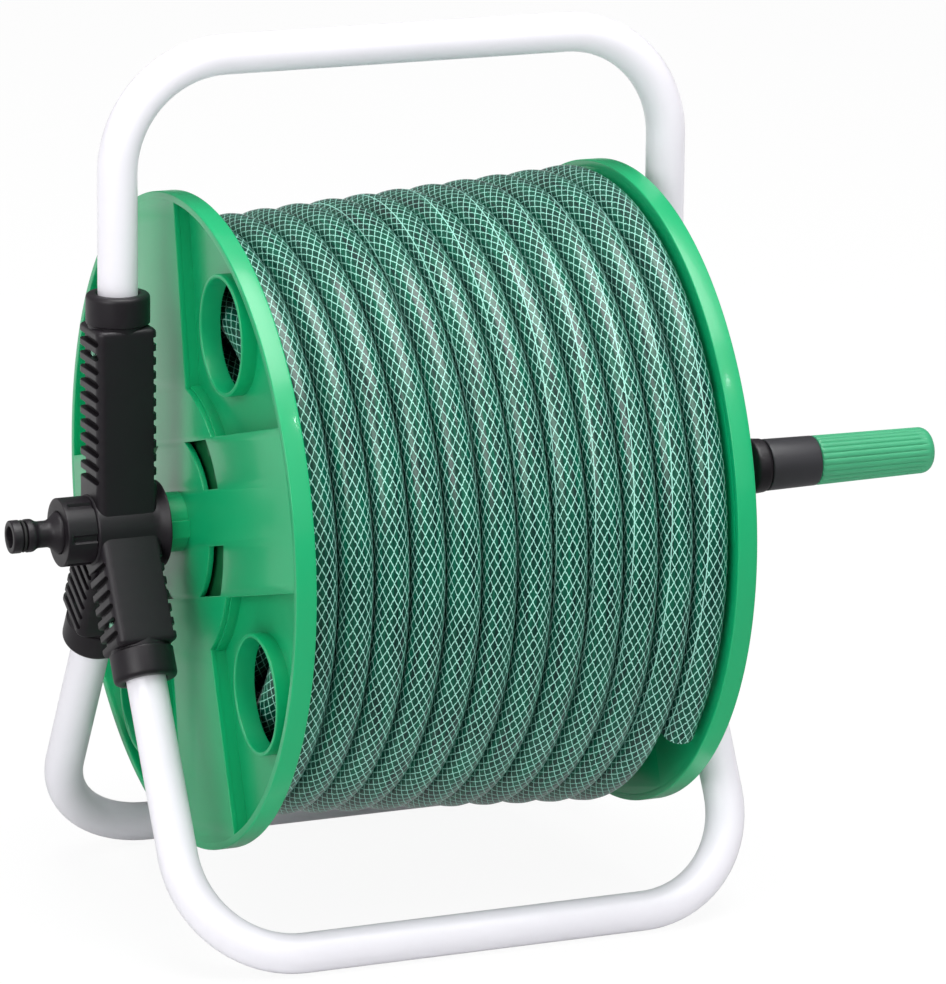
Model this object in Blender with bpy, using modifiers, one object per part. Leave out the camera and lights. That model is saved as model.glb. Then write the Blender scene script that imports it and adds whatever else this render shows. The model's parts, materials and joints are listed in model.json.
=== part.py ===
"""A garden hose reel: three bent tubes in two moulded hubs, a drum wound with hose, a water inlet and a crank.

Metres, +Z up. The drum's axis runs along X, the inlet is at -X, the crank at +X, and -Y is the front.
The origin lies on the ground under the middle of the whole object. Every piece is placed from the
drum's axis, half way between the frame's two sides, which is where the empty reel_axis stands.
"""

import math

import bmesh
import bpy
import numpy as np
from mathutils import Matrix, Vector

# Frame tubes: bent steel, 20 mm outside, in three U shapes that share one bending tool.
TUBE_OD = 0.020
TUBE_WALL = 0.0012
TUBE_SIDES = 12
BEND_RADIUS = 0.056
BEND_STEPS = 4
HANDLE_RISE = 0.235
LEG_LENGTH = 0.2245
LEG_ANGLE = math.radians(30.4)

# Garden hose, half inch inside, and how it lies on the drum.
HOSE_OD = 0.0176
HOSE_BORE = 0.0125
TURN_GAP = 0.0006
STRANDS = 12
SIDE_ROOM = 0.0015
LOOP_POINTS = 24
WINDING_START = math.radians(-85.0)
WINDING_END = math.radians(123.0)
WINDING_RISE = 0.0128
CROSSING_MIDDLE = math.radians(-150.0)
CROSSING_ARC = math.radians(120.0)

# Drum: two flanges on a barrel.
FLANGE_R = 0.165
RIM_WALL = 0.004
RIM_FREE = 0.0021
FLANGE_DEPTH = 0.0104
WEB = 0.0025
DISC_WALL = 0.003
BARREL_R = 0.068
BARREL_WALL = 0.003
WIDE_BAND_HALF = 0.0395
NARROW_BAND_HALF = (0.029, 0.0375)
HOLE_R = 0.028
COLLAR_WALL = 0.002
COLLAR_RIM_GAP = 0.007
WINDOW_EDGE = 0.004
WINDOW_LENGTH = 0.0205
WINDOW_LOW = 0.014
WINDOW_SPREAD = math.radians(62.26)
TAB_SIZE = 0.004
TAB_GAP = 0.001
TAB_TOP = 0.0015
END_DISC_DEPTH = 0.0055
DRUM_REST = math.radians(-16.0)
ROUND_STEPS = 40
TURN_STEPS = 24
BUSH_STEPS = 32
SMALL_STEPS = 16
SCREW_STEPS = 8
BOLT_STEPS = 12
POCKET_STEPS = (7, 3)
GAP_SAMPLES = 8

# Journals, bearings and play along the axis.
FLANGE_BOSS_R = 0.015
LEFT_BOSS_LENGTH = 0.0103
AXIAL_PLAY = 0.0005
JOURNAL_R = 0.013
JOURNAL_BORE_R = 0.008
BUSH_WALL = 0.0029
RUNNING_CLEARANCE = 0.0001
SEAT_GAP = 0.0003
INNER_BOSS_R = 0.016
INNER_BOSS_LENGTH = 0.019
JOURNAL_ROOM = 0.002
JOURNAL_END_GAP = 0.0012

# How far a cutter runs past what it cuts, and how far one shape is sunk into the one it joins.
CUT_PAST = 0.005
SINK = 0.001

# Hubs: three ribbed sockets and a bearing boss each, the same shape on both sides.
ARM_WIDTH = 0.031
ARM_DEPTH = 0.030
ARM_EDGE = 0.003
COLLAR_R = 0.016
COLLAR_LENGTH = 0.016
HANDLE_SOCKET_END = 0.1195
LEG_SOCKET_END = 0.0795
SOCKET_DEPTH = {"handle": 0.060, "leg": 0.041}
HUB_BOSS_R = 0.018
HUB_FLARE_R = 0.0225
HUB_BOSS_REACH = 0.0208
HUB_BOSS_PROUD = 0.001
SLOT_PITCH = 0.007
SLOT_WIDTH = 0.0036
SLOT_DEPTH = 0.0034
NOTCH_DEPTH = 0.0020
SLOT_FRONT_MARGIN = 0.0022
SLOT_LEAD = 0.0082
SLOT_COUNT = {"handle": 11, "leg": 6}
SCREW_SLOT = 1
SCREW_HEAD_R = 0.0015
SCREW_HEAD_HEIGHT = 0.0015
SCREW_SHANK_R = 0.0009
SCREW_LENGTH = 0.005

# Water inlet, a threaded stub with a quick-connect nose held by a nut.
STUB_R = 0.0131
STUB_LENGTH = 0.0086
STUB_BORE_R = 0.006
PIPE_R = 0.0074
PIPE_BORE_R = 0.0045
PIPE_REACH = 0.027
PIPE_INSET = 0.002
SEAL_INSET = 0.004
PIPE_COLLAR_R = 0.010
PIPE_COLLAR = 0.0033
SEAL_R = 0.0008
WASHER_THICK = 0.0016
NUT_R = 0.0172
NUT_LUGS = 6
LUG_HEIGHT = 0.0013
LUG_SHARES = (-0.34, 0.18, 0.24, 0.60)
NUT_LIP = 0.0028
NOSE_FLANGE = 0.0015
NOSE_LENGTH = 0.02835
NOSE_SHOULDER_R = 0.0106
NOSE_RING_R = 0.0083
NOSE_WAIST_R = 0.0067
NOSE_BORE_R = 0.0053
NOSE_GROOVE_R = 0.0065
NOSE_SEAL_R = 0.0009
NOSE_EDGE = 0.001
NOSE_GROOVE = (0.0050, 0.0052, 0.0076, 0.0078)
NOSE_WAIST = (0.0120, 0.0136, 0.0200, 0.0240)

# Crank: a shaft, an arm with a hub and an end boss, and a grip that turns on a spindle.
SHAFT_R = 0.009
SHAFT_SEAT = 0.018
CRANK_RADIUS = 0.0733
CRANK_GAP = 0.002
CRANK_THICK = 0.0080
CRANK_HUB_R = 0.017
CRANK_END_R = 0.0137
CRANK_CAP = 0.0025
SPINDLE_R = 0.005
SPINDLE_SEAT = 0.006
SLEEVE_LENGTH = 0.0275
SLEEVE_R = (0.0132, 0.0127)
GRIP_LENGTH = 0.06495
GRIP_R = (0.0127, 0.0118)
GRIP_ROUND = 0.005
GRIP_END_WALL = 0.006
BOLT_R = 0.0023
BOLT_HEAD_R = 0.0045
BOLT_HEAD_HEIGHT = 0.003
BOLT_LENGTH = 0.012
CRANK_WASHER_R = 0.007
CRANK_WASHER_THICK = 0.001

# Water way inside the barrel.
ELBOW_R = 0.008
ELBOW_WALL = 0.002
ELBOW_RUN = 0.026
ELBOW_BEND = 0.016
ELBOW_PLUG = 0.010
BARB_R = 0.0058
BARB_LENGTH = 0.016
ELBOW_DROP = 0.012
BARB_TAPER = 0.004
TAIL_LEAD = 0.006
CLAMP_LEAD = 0.004
CLAMP_WALL = 0.0014
CLAMP_WIDTH = 0.009

# Sizes that follow from the ones above.
TUBE_R = TUBE_OD / 2
SECTION_R = TUBE_R / math.cos(math.pi / TUBE_SIDES)
SOCKET_R = SECTION_R + SEAT_GAP / math.cos(math.pi / TUBE_SIDES)
PITCH = HOSE_OD + TURN_GAP
DRUM_WIDTH = (STRANDS - 1) * PITCH + HOSE_OD + 2 * SIDE_ROOM
WINDING_R = FLANGE_R - RIM_FREE - HOSE_OD / 2
DISC_R = BARREL_R + BARREL_WALL
COLLAR_OUTER_R = HOLE_R + COLLAR_WALL
HOLE_CIRCLE_R = FLANGE_R - RIM_WALL - COLLAR_RIM_GAP - COLLAR_OUTER_R
WINDOW_R = (BARREL_R - WINDOW_EDGE - WINDOW_LENGTH, BARREL_R - WINDOW_EDGE)
WINDOW_HALF = (WINDOW_LOW, WINDOW_R[0] * math.sin(WINDOW_SPREAD))
DRUM_OVERALL = DRUM_WIDTH + 2 * FLANGE_DEPTH
ARM_X = (DRUM_OVERALL + LEFT_BOSS_LENGTH) / 2 + AXIAL_PLAY + HUB_BOSS_REACH
RIGHT_FACE_X = ARM_X - HUB_BOSS_REACH - AXIAL_PLAY
LEFT_FACE_X = RIGHT_FACE_X - DRUM_OVERALL
FIRST_TURN_X = LEFT_FACE_X + FLANGE_DEPTH + SIDE_ROOM + HOSE_OD / 2
AXIS_Z = LEG_LENGTH * math.cos(LEG_ANGLE) + TUBE_R
HUB_FACE_X = ARM_X + ARM_WIDTH / 2
BUSH_R = JOURNAL_R + RUNNING_CLEARANCE + BUSH_WALL
SHAFT_BUSH_R = SHAFT_R + RUNNING_CLEARANCE + BUSH_WALL
STUB_END_X = -(HUB_FACE_X + HUB_BOSS_PROUD + STUB_LENGTH)
NOSE_BACK_X = STUB_END_X - WASHER_THICK - 2 * SEAT_GAP
NOSE_TIP_X = NOSE_BACK_X - NOSE_FLANGE - NOSE_LENGTH
CRANK_X = HUB_FACE_X + CRANK_GAP
CRANK_FACE_X = CRANK_X + CRANK_THICK
GRIP_X = CRANK_FACE_X + SLEEVE_LENGTH + 2 * SEAT_GAP
GRIP_TIP_X = GRIP_X + GRIP_LENGTH
ORIGIN_SHIFT_X = -(NOSE_TIP_X + GRIP_TIP_X) / 2
ELBOW_DOWN_X = LEFT_FACE_X + DISC_WALL + INNER_BOSS_LENGTH - ELBOW_PLUG + ELBOW_RUN + ELBOW_BEND

# Turns an outline drawn in XY so that it lies in YZ and its thickness runs along X.
ACROSS_X = Matrix.Rotation(math.pi / 2, 4, "Z") @ Matrix.Rotation(math.pi / 2, 4, "X")

LOOKS = {
    "white_paint": ((0.86, 0.86, 0.88), 0.35, 0.0),
    "green_plastic": ((0.012, 0.38, 0.11), 0.42, 0.0),
    "grip_green": ((0.06, 0.46, 0.17), 0.45, 0.0),
    "black_plastic": ((0.020, 0.020, 0.022), 0.45, 0.0),
    "grey_plastic": ((0.075, 0.075, 0.085), 0.50, 0.0),
    "hose_green": ((0.012, 0.11, 0.085), 0.30, 0.0),
    "rubber": ((0.015, 0.015, 0.015), 0.70, 0.0),
    "zinc": ((0.62, 0.64, 0.62), 0.35, 1.0),
    "bearing_plastic": ((0.70, 0.69, 0.64), 0.50, 0.0),
}


def clear_scene():
    for obj in list(bpy.data.objects):
        bpy.data.objects.remove(obj, do_unlink=True)


def new_collection(name):
    collection = bpy.data.collections.new(name)
    bpy.context.scene.collection.children.link(collection)
    return collection


def make_material(name):
    colour, roughness, metallic = LOOKS[name]
    material = bpy.data.materials.new(name)
    material.use_nodes = True
    shader = material.node_tree.nodes["Principled BSDF"]
    shader.inputs["Base Color"].default_value = (*colour, 1.0)
    shader.inputs["Roughness"].default_value = roughness
    shader.inputs["Metallic"].default_value = metallic
    return material


class Kit:
    """The collections, materials and empties that every piece is made with."""

    def __init__(self):
        self.parts = new_collection("hose_reel")
        self.cutters = new_collection("hose_reel_cutters")
        self.materials = {name: make_material(name) for name in LOOKS}
        self.reel_axis = self.empty("reel_axis", None, (ORIGIN_SHIFT_X, 0.0, AXIS_Z))
        self.drum_axis = self.empty("drum_axis", self.reel_axis, (0.0, 0.0, 0.0))
        self.drum_axis.rotation_euler.x = DRUM_REST
        self.grip_axis = self.empty("grip_axis", self.drum_axis, (0.0, -CRANK_RADIUS, 0.0))

    def empty(self, name, parent, location):
        empty = bpy.data.objects.new(name, None)
        empty.parent = parent
        empty.location = location
        self.parts.objects.link(empty)
        return empty

    def part(self, name, mesh, look, parent):
        """A visible piece under its parent empty."""
        obj = bpy.data.objects.new(name, mesh)
        mesh.materials.clear()
        mesh.materials.append(self.materials[look])
        mesh.shade_smooth()
        mesh.set_sharp_from_angle(angle=math.radians(35))
        obj.parent = parent
        self.parts.objects.link(obj)
        return obj

    def cutter(self, name, mesh, parent):
        """A hidden body that a Boolean adds to a piece or takes from it."""
        obj = bpy.data.objects.new(name, mesh)
        obj.parent = parent
        obj.hide_render = True
        obj.display_type = "WIRE"
        self.cutters.objects.link(obj)
        return obj

    def apply_boolean(self, obj, operation, mesh):
        """Adds a Boolean modifier whose body is made from the given mesh."""
        helper = self.cutter(f"{obj.name}_{operation.lower()}_{len(obj.modifiers)}", mesh, obj.parent)
        modifier = obj.modifiers.new(helper.name, "BOOLEAN")
        modifier.operation = operation
        modifier.solver = "EXACT"
        modifier.object = helper
        return helper


def mesh_from(bm, name="shape"):
    bmesh.ops.recalc_face_normals(bm, faces=bm.faces)
    mesh = bpy.data.meshes.new(name)
    bm.to_mesh(mesh)
    bm.free()
    return mesh


def box_mesh(boxes):
    """One mesh of boxes, each given as (size, matrix)."""
    bm = bmesh.new()
    for size, matrix in boxes:
        bmesh.ops.create_cube(bm, size=1.0, matrix=matrix @ Matrix.Diagonal((*size, 1.0)))
    return mesh_from(bm)


def rod_mesh(rods, sides=TURN_STEPS, spin=0.0):
    """One mesh of straight rods, each given as (start, end, radius) and spun about its own axis."""
    bm = bmesh.new()
    for start, end, radius in rods:
        run = Vector(end) - Vector(start)
        turn = run.to_track_quat("Z", "Y").to_matrix().to_4x4() @ Matrix.Rotation(spin, 4, "Z")
        matrix = Matrix.Translation((Vector(start) + Vector(end)) / 2) @ turn
        bmesh.ops.create_cone(
            bm,
            cap_ends=True,
            segments=sides,
            radius1=radius,
            radius2=radius,
            depth=run.length,
            matrix=matrix,
        )
    return mesh_from(bm)


def turned_mesh(profile, steps, closed=True):
    """A profile of (x, r) points turned about the X axis with a Screw modifier.

    A closed profile leaves a bore, and an open one starts and ends on the axis.
    """
    area = sum(a[0] * b[1] - b[0] * a[1] for a, b in zip(profile, profile[1:] + profile[:1]))
    points = profile if area > 0 else profile[::-1]
    count = len(points)
    edges = [(i, i + 1) for i in range(count - 1)]
    if closed:
        edges.append((count - 1, 0))
    mesh = bpy.data.meshes.new("turned")
    mesh.from_pydata([(x, r, 0.0) for x, r in points], edges, [])
    obj = bpy.data.objects.new("turned", mesh)
    bpy.context.scene.collection.objects.link(obj)
    screw = obj.modifiers.new("Turn", "SCREW")
    screw.axis = "X"
    screw.angle = 2 * math.pi
    screw.steps = steps
    screw.render_steps = steps
    screw.use_merge_vertices = True
    screw.merge_threshold = 0.00001
    return take_mesh(obj)


def take_mesh(obj):
    """The evaluated mesh of a helper object, welded, with the helper removed."""
    bpy.context.view_layer.update()
    graph = bpy.context.evaluated_depsgraph_get()
    mesh = bpy.data.meshes.new_from_object(obj.evaluated_get(graph))
    bm = bmesh.new()
    bm.from_mesh(mesh)
    bmesh.ops.remove_doubles(bm, verts=bm.verts, dist=0.000002)
    bmesh.ops.transform(bm, matrix=obj.matrix_world, verts=bm.verts)
    bm.to_mesh(mesh)
    bm.free()
    bpy.data.objects.remove(obj, do_unlink=True)
    return mesh


def outline_mesh(outline, low_x, high_x):
    """A flat outline of (y, z) points, extruded along X between two stations."""
    curve = bpy.data.curves.new("outline", "CURVE")
    curve.dimensions = "2D"
    curve.fill_mode = "BOTH"
    curve.extrude = (high_x - low_x) / 2
    spline = curve.splines.new("POLY")
    spline.points.add(len(outline) - 1)
    for point, (y, z) in zip(spline.points, outline):
        point.co = (y, z, 0.0, 1.0)
    spline.use_cyclic_u = True
    obj = bpy.data.objects.new("outline", curve)
    bpy.context.scene.collection.objects.link(obj)
    obj.matrix_world = Matrix.Translation(((low_x + high_x) / 2, 0, 0)) @ ACROSS_X
    mesh = take_mesh(obj)
    bm = bmesh.new()
    bm.from_mesh(mesh)
    bpy.data.meshes.remove(mesh)
    return mesh_from(bm, "outline")


def arc(radius, start, end, steps, centre=(0.0, 0.0)):
    """Points along an arc, angles in radians from the first axis."""
    angles = np.linspace(start, end, steps + 1)
    return [(centre[0] + radius * math.cos(a), centre[1] + radius * math.sin(a)) for a in angles]


def swept_curve(points, radius, resolution, twist="MINIMUM", tilt=0.0, caps=True, scale=None):
    """A round tube along a list of points."""
    curve = bpy.data.curves.new("sweep", "CURVE")
    curve.dimensions = "3D"
    curve.twist_mode = twist
    curve.bevel_depth = radius
    curve.bevel_resolution = resolution
    curve.use_fill_caps = caps
    spline = curve.splines.new("POLY")
    spline.points.add(len(points) - 1)
    for i, (point, co) in enumerate(zip(spline.points, points)):
        point.co = (*co, 1.0)
        point.tilt = tilt
        point.radius = 1.0 if scale is None else scale[i]
    obj = bpy.data.objects.new("sweep", curve)
    bpy.context.scene.collection.objects.link(obj)
    return obj


def u_tube_points(start, length):
    """A U in the XY plane: two legs along -Y joined by a bar at -length, with bent corners."""
    corner_x = ARM_X - BEND_RADIUS
    corner_y = -length + BEND_RADIUS
    right = arc(BEND_RADIUS, 0.0, -math.pi / 2, BEND_STEPS, (corner_x, corner_y))
    left = [(-x, y) for x, y in reversed(right)]
    route = [(ARM_X, -start)] + right + left + [(-ARM_X, -start)]
    return [(x, y, 0.0) for x, y in route]


def arm_axes():
    """The three directions of the frame from the drum's axis, in the YZ plane."""
    return {
        "handle": (Vector((0, 0, 1)), HANDLE_SOCKET_END, SOCKET_DEPTH["handle"], "handle"),
        "front": (leg_direction(-1), LEG_SOCKET_END, SOCKET_DEPTH["leg"], "leg"),
        "rear": (leg_direction(1), LEG_SOCKET_END, SOCKET_DEPTH["leg"], "leg"),
    }


def leg_direction(sign):
    return Vector((0, sign * math.sin(LEG_ANGLE), -math.cos(LEG_ANGLE)))


def arm_matrix(direction):
    """A frame whose X is the axis's and whose Z runs out along an arm.

    Its Y points to the rear on the handle's arm, up and to the front on the front leg's, and to the
    front leg on the rear leg's.
    """
    along = direction.normalized()
    side = Vector((1, 0, 0))
    return Matrix((side, along.cross(side), along)).transposed().to_4x4()


def screw_station(kind, socket_end):
    return socket_end - COLLAR_LENGTH - SLOT_LEAD + SLOT_WIDTH / 2 - SCREW_SLOT * SLOT_PITCH


def make_frame_tubes(kit):
    """The handle and the two leg loops, each with two small screw holes near its ends."""
    names = {"handle": "handle_tube", "front": "front_leg_tube", "rear": "rear_leg_tube"}
    for key, (direction, socket_end, depth, kind) in arm_axes().items():
        length = HANDLE_RISE if key == "handle" else LEG_LENGTH
        facet = math.pi / TUBE_SIDES
        tilt = facet if key == "handle" else facet - LEG_ANGLE * (1 if key == "front" else -1)
        route = u_tube_points(socket_end - depth, length)
        obj = swept_curve(route, SECTION_R, TUBE_SIDES // 2 - 2, "Z_UP", tilt, caps=False)
        obj.matrix_world = leg_plane(direction)
        mesh = take_mesh(obj)
        tube = kit.part(names[key], mesh, "white_paint", kit.reel_axis)
        wall = tube.modifiers.new("Wall", "SOLIDIFY")
        wall.thickness = TUBE_WALL
        wall.offset = -1.0
        wall.use_even_offset = True
        station = direction * screw_station(kind, socket_end)
        reach = Vector((SECTION_R + TUBE_WALL, 0, 0))
        holes = []
        for side in (-1, 1):
            centre = station + Vector((side * ARM_X, 0, 0))
            holes.append((centre + side * reach * 0.4, centre + side * reach * 1.3, SCREW_SHANK_R + SEAT_GAP))
        kit.apply_boolean(tube, "DIFFERENCE", rod_mesh(holes, 8))


def leg_plane(direction):
    """The turn that lays a U drawn in XY, with its bar at -Y, along the given direction."""
    down = direction.normalized()
    return Matrix(((1, 0, 0), -down, Vector((1, 0, 0)).cross(-down))).transposed().to_4x4()


def rounded_arm(direction, length):
    """A hub's arm: a box out along the direction, with its four long edges rounded."""
    bm = bmesh.new()
    bmesh.ops.create_cube(bm, size=1.0)
    bmesh.ops.scale(bm, vec=(ARM_WIDTH, ARM_DEPTH, length), verts=bm.verts)
    bmesh.ops.translate(bm, vec=(0, 0, length / 2), verts=bm.verts)
    long_edges = [e for e in bm.edges if abs(e.verts[0].co.z - e.verts[1].co.z) > length / 2]
    bmesh.ops.bevel(bm, geom=long_edges, offset=ARM_EDGE, segments=1, affect="EDGES")
    bmesh.ops.transform(bm, matrix=arm_matrix(direction), verts=bm.verts)
    return mesh_from(bm)


def slot_spans(direction, past, inner_end):
    """How far a slot runs on the outer face (1) and on the inner face (-1), across the arm."""
    margin = ARM_DEPTH / 2 - SLOT_FRONT_MARGIN
    if direction.y < 0:
        return {1: (-inner_end, margin), -1: (-inner_end, past)}
    if direction.y > 0:
        return {1: (-past, min(margin, inner_end)), -1: (-past, inner_end)}
    return {1: (-margin, past), -1: (-past, past)}


def slot_boxes(direction, kind, socket_end, side):
    """The slots across an arm's outer face, open to the rear, and across its inner face, open both ways."""
    matrix = arm_matrix(direction)
    past = ARM_DEPTH / 2 + CUT_PAST
    depths = {1: SLOT_DEPTH, -1: NOTCH_DEPTH}
    boxes = []
    for i in range(SLOT_COUNT[kind]):
        along = screw_station(kind, socket_end) + (SCREW_SLOT - i) * SLOT_PITCH
        inner_end = min(past, along * math.tan(LEG_ANGLE)) if kind == "leg" else past
        spans = slot_spans(direction, past, inner_end)
        for face, (low, high) in spans.items():
            size = (2 * depths[face], high - low, SLOT_WIDTH)
            place = Vector((face * side * ARM_WIDTH / 2, 0, 0))
            centre = matrix @ (place + Vector((0, (low + high) / 2, along)))
            boxes.append((size, Matrix.Translation(centre) @ matrix))
    return boxes


def hub_core_profile(side):
    """The bearing boss on the drum's axis, flared to the drum, with the threaded stub on the inlet's side."""
    inner = ARM_X - HUB_BOSS_REACH
    waist = ARM_X - ARM_WIDTH / 2
    outer = HUB_FACE_X + HUB_BOSS_PROUD
    profile = [(inner, 0.0), (inner, HUB_FLARE_R), (waist, HUB_BOSS_R), (outer, HUB_BOSS_R), (outer, 0.0)]
    if side < 0:
        end = -STUB_END_X
        profile[-1:] = [(outer, STUB_R), (end, STUB_R), (end, 0.0)]
    return [(side * x, r) for x, r in profile]


def journal_end_x():
    return LEFT_FACE_X - LEFT_BOSS_LENGTH - (HUB_BOSS_REACH - JOURNAL_ROOM)


def pipe_seat_x():
    """Where the inlet pipe's collar sits against the hub, outside the journal's end."""
    return journal_end_x() - JOURNAL_END_GAP


def hub_bore_profile(side):
    """The stepped bore along the axis: a bush on both sides, and the water pipe on the left."""
    inner = ARM_X - HUB_BOSS_REACH - CUT_PAST
    if side > 0:
        bush = SHAFT_BUSH_R + SEAT_GAP
        outer = HUB_FACE_X + HUB_BOSS_PROUD + CUT_PAST
        return [(inner, 0.0), (inner, bush), (outer, bush), (outer, 0.0)]
    seat = -pipe_seat_x()
    collar_end = seat + PIPE_COLLAR + 2 * SEAT_GAP
    pipe_end = HUB_FACE_X - PIPE_INSET
    outer = -STUB_END_X + CUT_PAST
    steps = [
        (inner, BUSH_R + SEAT_GAP),
        (seat, PIPE_COLLAR_R + SEAT_GAP),
        (collar_end, PIPE_R + SEAT_GAP),
        (pipe_end, STUB_BORE_R),
    ]
    profile = [(inner, 0.0)]
    for (start, radius), end in zip(steps, [s[0] for s in steps[1:]] + [outer]):
        profile += [(start, radius), (end, radius)]
    profile.append((outer, 0.0))
    return [(-x, r) for x, r in profile]


def make_hub(kit, side):
    """A hub with its three sockets. The right one is the left one mirrored, without the stub."""
    name = "left_hub" if side < 0 else "right_hub"
    shift = Matrix.Translation((side * ARM_X, 0, 0))
    arms = arm_axes()
    bodies = []
    sockets = []
    screw_holes = []
    slots = []
    for direction, end, depth, kind in arms.values():
        body = rounded_arm(direction, end - COLLAR_LENGTH)
        body.transform(shift)
        centre = Vector((side * ARM_X, 0, 0))
        collar_start = end - COLLAR_LENGTH - SINK
        bodies.append(body)
        collar = (centre + direction * collar_start, centre + direction * end, COLLAR_R)
        bodies.append(rod_mesh([collar], SMALL_STEPS))
        bottom = end - depth - SEAT_GAP
        sockets.append((centre + direction * bottom, centre + direction * (end + CUT_PAST), SOCKET_R))
        station = centre + direction * screw_station(kind, end)
        out = Vector((side, 0, 0))
        floor = ARM_WIDTH / 2 - SLOT_DEPTH
        hole_ends = (station + out * (floor - CUT_PAST), station + out * (floor + SINK))
        screw_holes.append((*hole_ends, SCREW_SHANK_R + SEAT_GAP))
        slots.append((direction, kind, end))
    hub = kit.part(name, bodies[0], "black_plastic", kit.reel_axis)
    for body in bodies[1:]:
        kit.apply_boolean(hub, "UNION", body)
    kit.apply_boolean(hub, "UNION", turned_mesh(hub_core_profile(side), TURN_STEPS, closed=False))
    kit.apply_boolean(hub, "DIFFERENCE", turned_mesh(hub_bore_profile(side), TURN_STEPS, closed=False))
    for socket in sockets:
        kit.apply_boolean(hub, "DIFFERENCE", rod_mesh([socket], TUBE_SIDES, math.pi / TUBE_SIDES))
    for direction, kind, end in slots:
        cutter = box_mesh(slot_boxes(direction, kind, end, side))
        cutter.transform(shift)
        kit.apply_boolean(hub, "DIFFERENCE", cutter)
    for hole in screw_holes:
        kit.apply_boolean(hub, "DIFFERENCE", rod_mesh([hole], SCREW_STEPS))


def make_hub_screws(kit):
    """One small screw in each socket, through the hub's wall into the tube."""
    for side, side_name in ((-1, "left"), (1, "right")):
        for key, (direction, end, _depth, kind) in arm_axes().items():
            floor = ARM_WIDTH / 2 - SLOT_DEPTH + SEAT_GAP
            profile = [
                (floor + SCREW_HEAD_HEIGHT, 0.0),
                (floor + SCREW_HEAD_HEIGHT, SCREW_HEAD_R),
                (floor, SCREW_HEAD_R),
                (floor, SCREW_SHANK_R),
                (floor - SCREW_LENGTH, SCREW_SHANK_R),
                (floor - SCREW_LENGTH, 0.0),
            ]
            mesh = turned_mesh([(side * x, r) for x, r in profile], SCREW_STEPS, closed=False)
            screw = kit.part(f"{side_name}_{key}_screw", mesh, "zinc", kit.reel_axis)
            screw.location = Vector((side * ARM_X, 0, 0)) + direction * screw_station(kind, end)


def ring_profile(low, high, inner, outer):
    return [(low, inner), (low, outer), (high, outer), (high, inner)]


def make_bearings(kit):
    """The bushes that the drum's journal and the crank's shaft turn in."""
    inner = ARM_X - HUB_BOSS_REACH + SEAT_GAP
    left_end = -pipe_seat_x() - SEAT_GAP
    left = ring_profile(-left_end, -inner, JOURNAL_R + RUNNING_CLEARANCE, BUSH_R)
    kit.part("left_bearing_bush", turned_mesh(left, BUSH_STEPS), "bearing_plastic", kit.reel_axis)
    outer = HUB_FACE_X + HUB_BOSS_PROUD - SEAT_GAP
    right = ring_profile(inner, outer, SHAFT_R + RUNNING_CLEARANCE, SHAFT_BUSH_R)
    kit.part("right_bearing_bush", turned_mesh(right, BUSH_STEPS), "bearing_plastic", kit.reel_axis)


def make_inlet_pipe(kit):
    """The fixed pipe that carries water from the stub into the turning journal, and its seal."""
    seat = pipe_seat_x() - SEAT_GAP
    inner = seat + PIPE_REACH
    outer = -(HUB_FACE_X - PIPE_INSET - SEAT_GAP)
    groove = 2 * SEAL_R + 2 * SEAT_GAP
    groove_x = inner - SEAL_INSET
    groove_r = PIPE_R - 2 * SEAL_R + SEAT_GAP / 3
    profile = [
        (inner, PIPE_BORE_R),
        (inner, PIPE_R),
        (groove_x, PIPE_R),
        (groove_x, groove_r),
        (groove_x - groove, groove_r),
        (groove_x - groove, PIPE_R),
        (seat, PIPE_R),
        (seat, PIPE_COLLAR_R),
        (seat - PIPE_COLLAR, PIPE_COLLAR_R),
        (seat - PIPE_COLLAR, PIPE_R),
        (outer, PIPE_R),
        (outer, PIPE_BORE_R),
    ]
    kit.part("inlet_pipe", turned_mesh(profile, SMALL_STEPS), "black_plastic", kit.reel_axis)
    middle = groove_x - groove / 2
    radius = groove_r + SEAL_R + SEAT_GAP
    ring = arc(SEAL_R, 0.0, 2 * math.pi * 5 / 6, 5, (middle, radius))
    kit.part("inlet_seal", turned_mesh(ring, SMALL_STEPS), "rubber", kit.reel_axis)


def lug_outline():
    """The nut's edge: lugs with slots between them."""
    points = []
    step = 2 * math.pi / NUT_LUGS
    slot_r = NUT_R - LUG_HEIGHT
    for i in range(NUT_LUGS):
        for offset, radius in zip(LUG_SHARES, (NUT_R, NUT_R, slot_r, slot_r)):
            angle = (i + offset) * step
            points.append((radius * math.cos(angle), radius * math.sin(angle)))
    return points


def make_connector(kit):
    """The nut, its washer, the nose it holds on the stub, and the nose's ring seal."""
    washer_x = STUB_END_X - SEAT_GAP
    washer = ring_profile(washer_x - WASHER_THICK, washer_x, STUB_BORE_R, STUB_R - SEAT_GAP)
    kit.part("connector_washer", turned_mesh(washer, SMALL_STEPS), "rubber", kit.reel_axis)
    nut_x = -(HUB_FACE_X + HUB_BOSS_PROUD + SEAT_GAP)
    lip_x = NOSE_BACK_X - NOSE_FLANGE - SEAT_GAP
    end_x = lip_x - NUT_LIP
    nut = kit.part("connector_nut", outline_mesh(lug_outline(), end_x, nut_x), "black_plastic", kit.reel_axis)
    bore = [
        (nut_x + CUT_PAST, 0.0),
        (nut_x + CUT_PAST, STUB_R + SEAT_GAP),
        (lip_x, STUB_R + SEAT_GAP),
        (lip_x, NOSE_SHOULDER_R + SEAT_GAP),
        (end_x - CUT_PAST, NOSE_SHOULDER_R + SEAT_GAP),
        (end_x - CUT_PAST, 0.0),
    ]
    kit.apply_boolean(nut, "DIFFERENCE", turned_mesh(bore, TURN_STEPS, closed=False))
    make_nose(kit)


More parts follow.
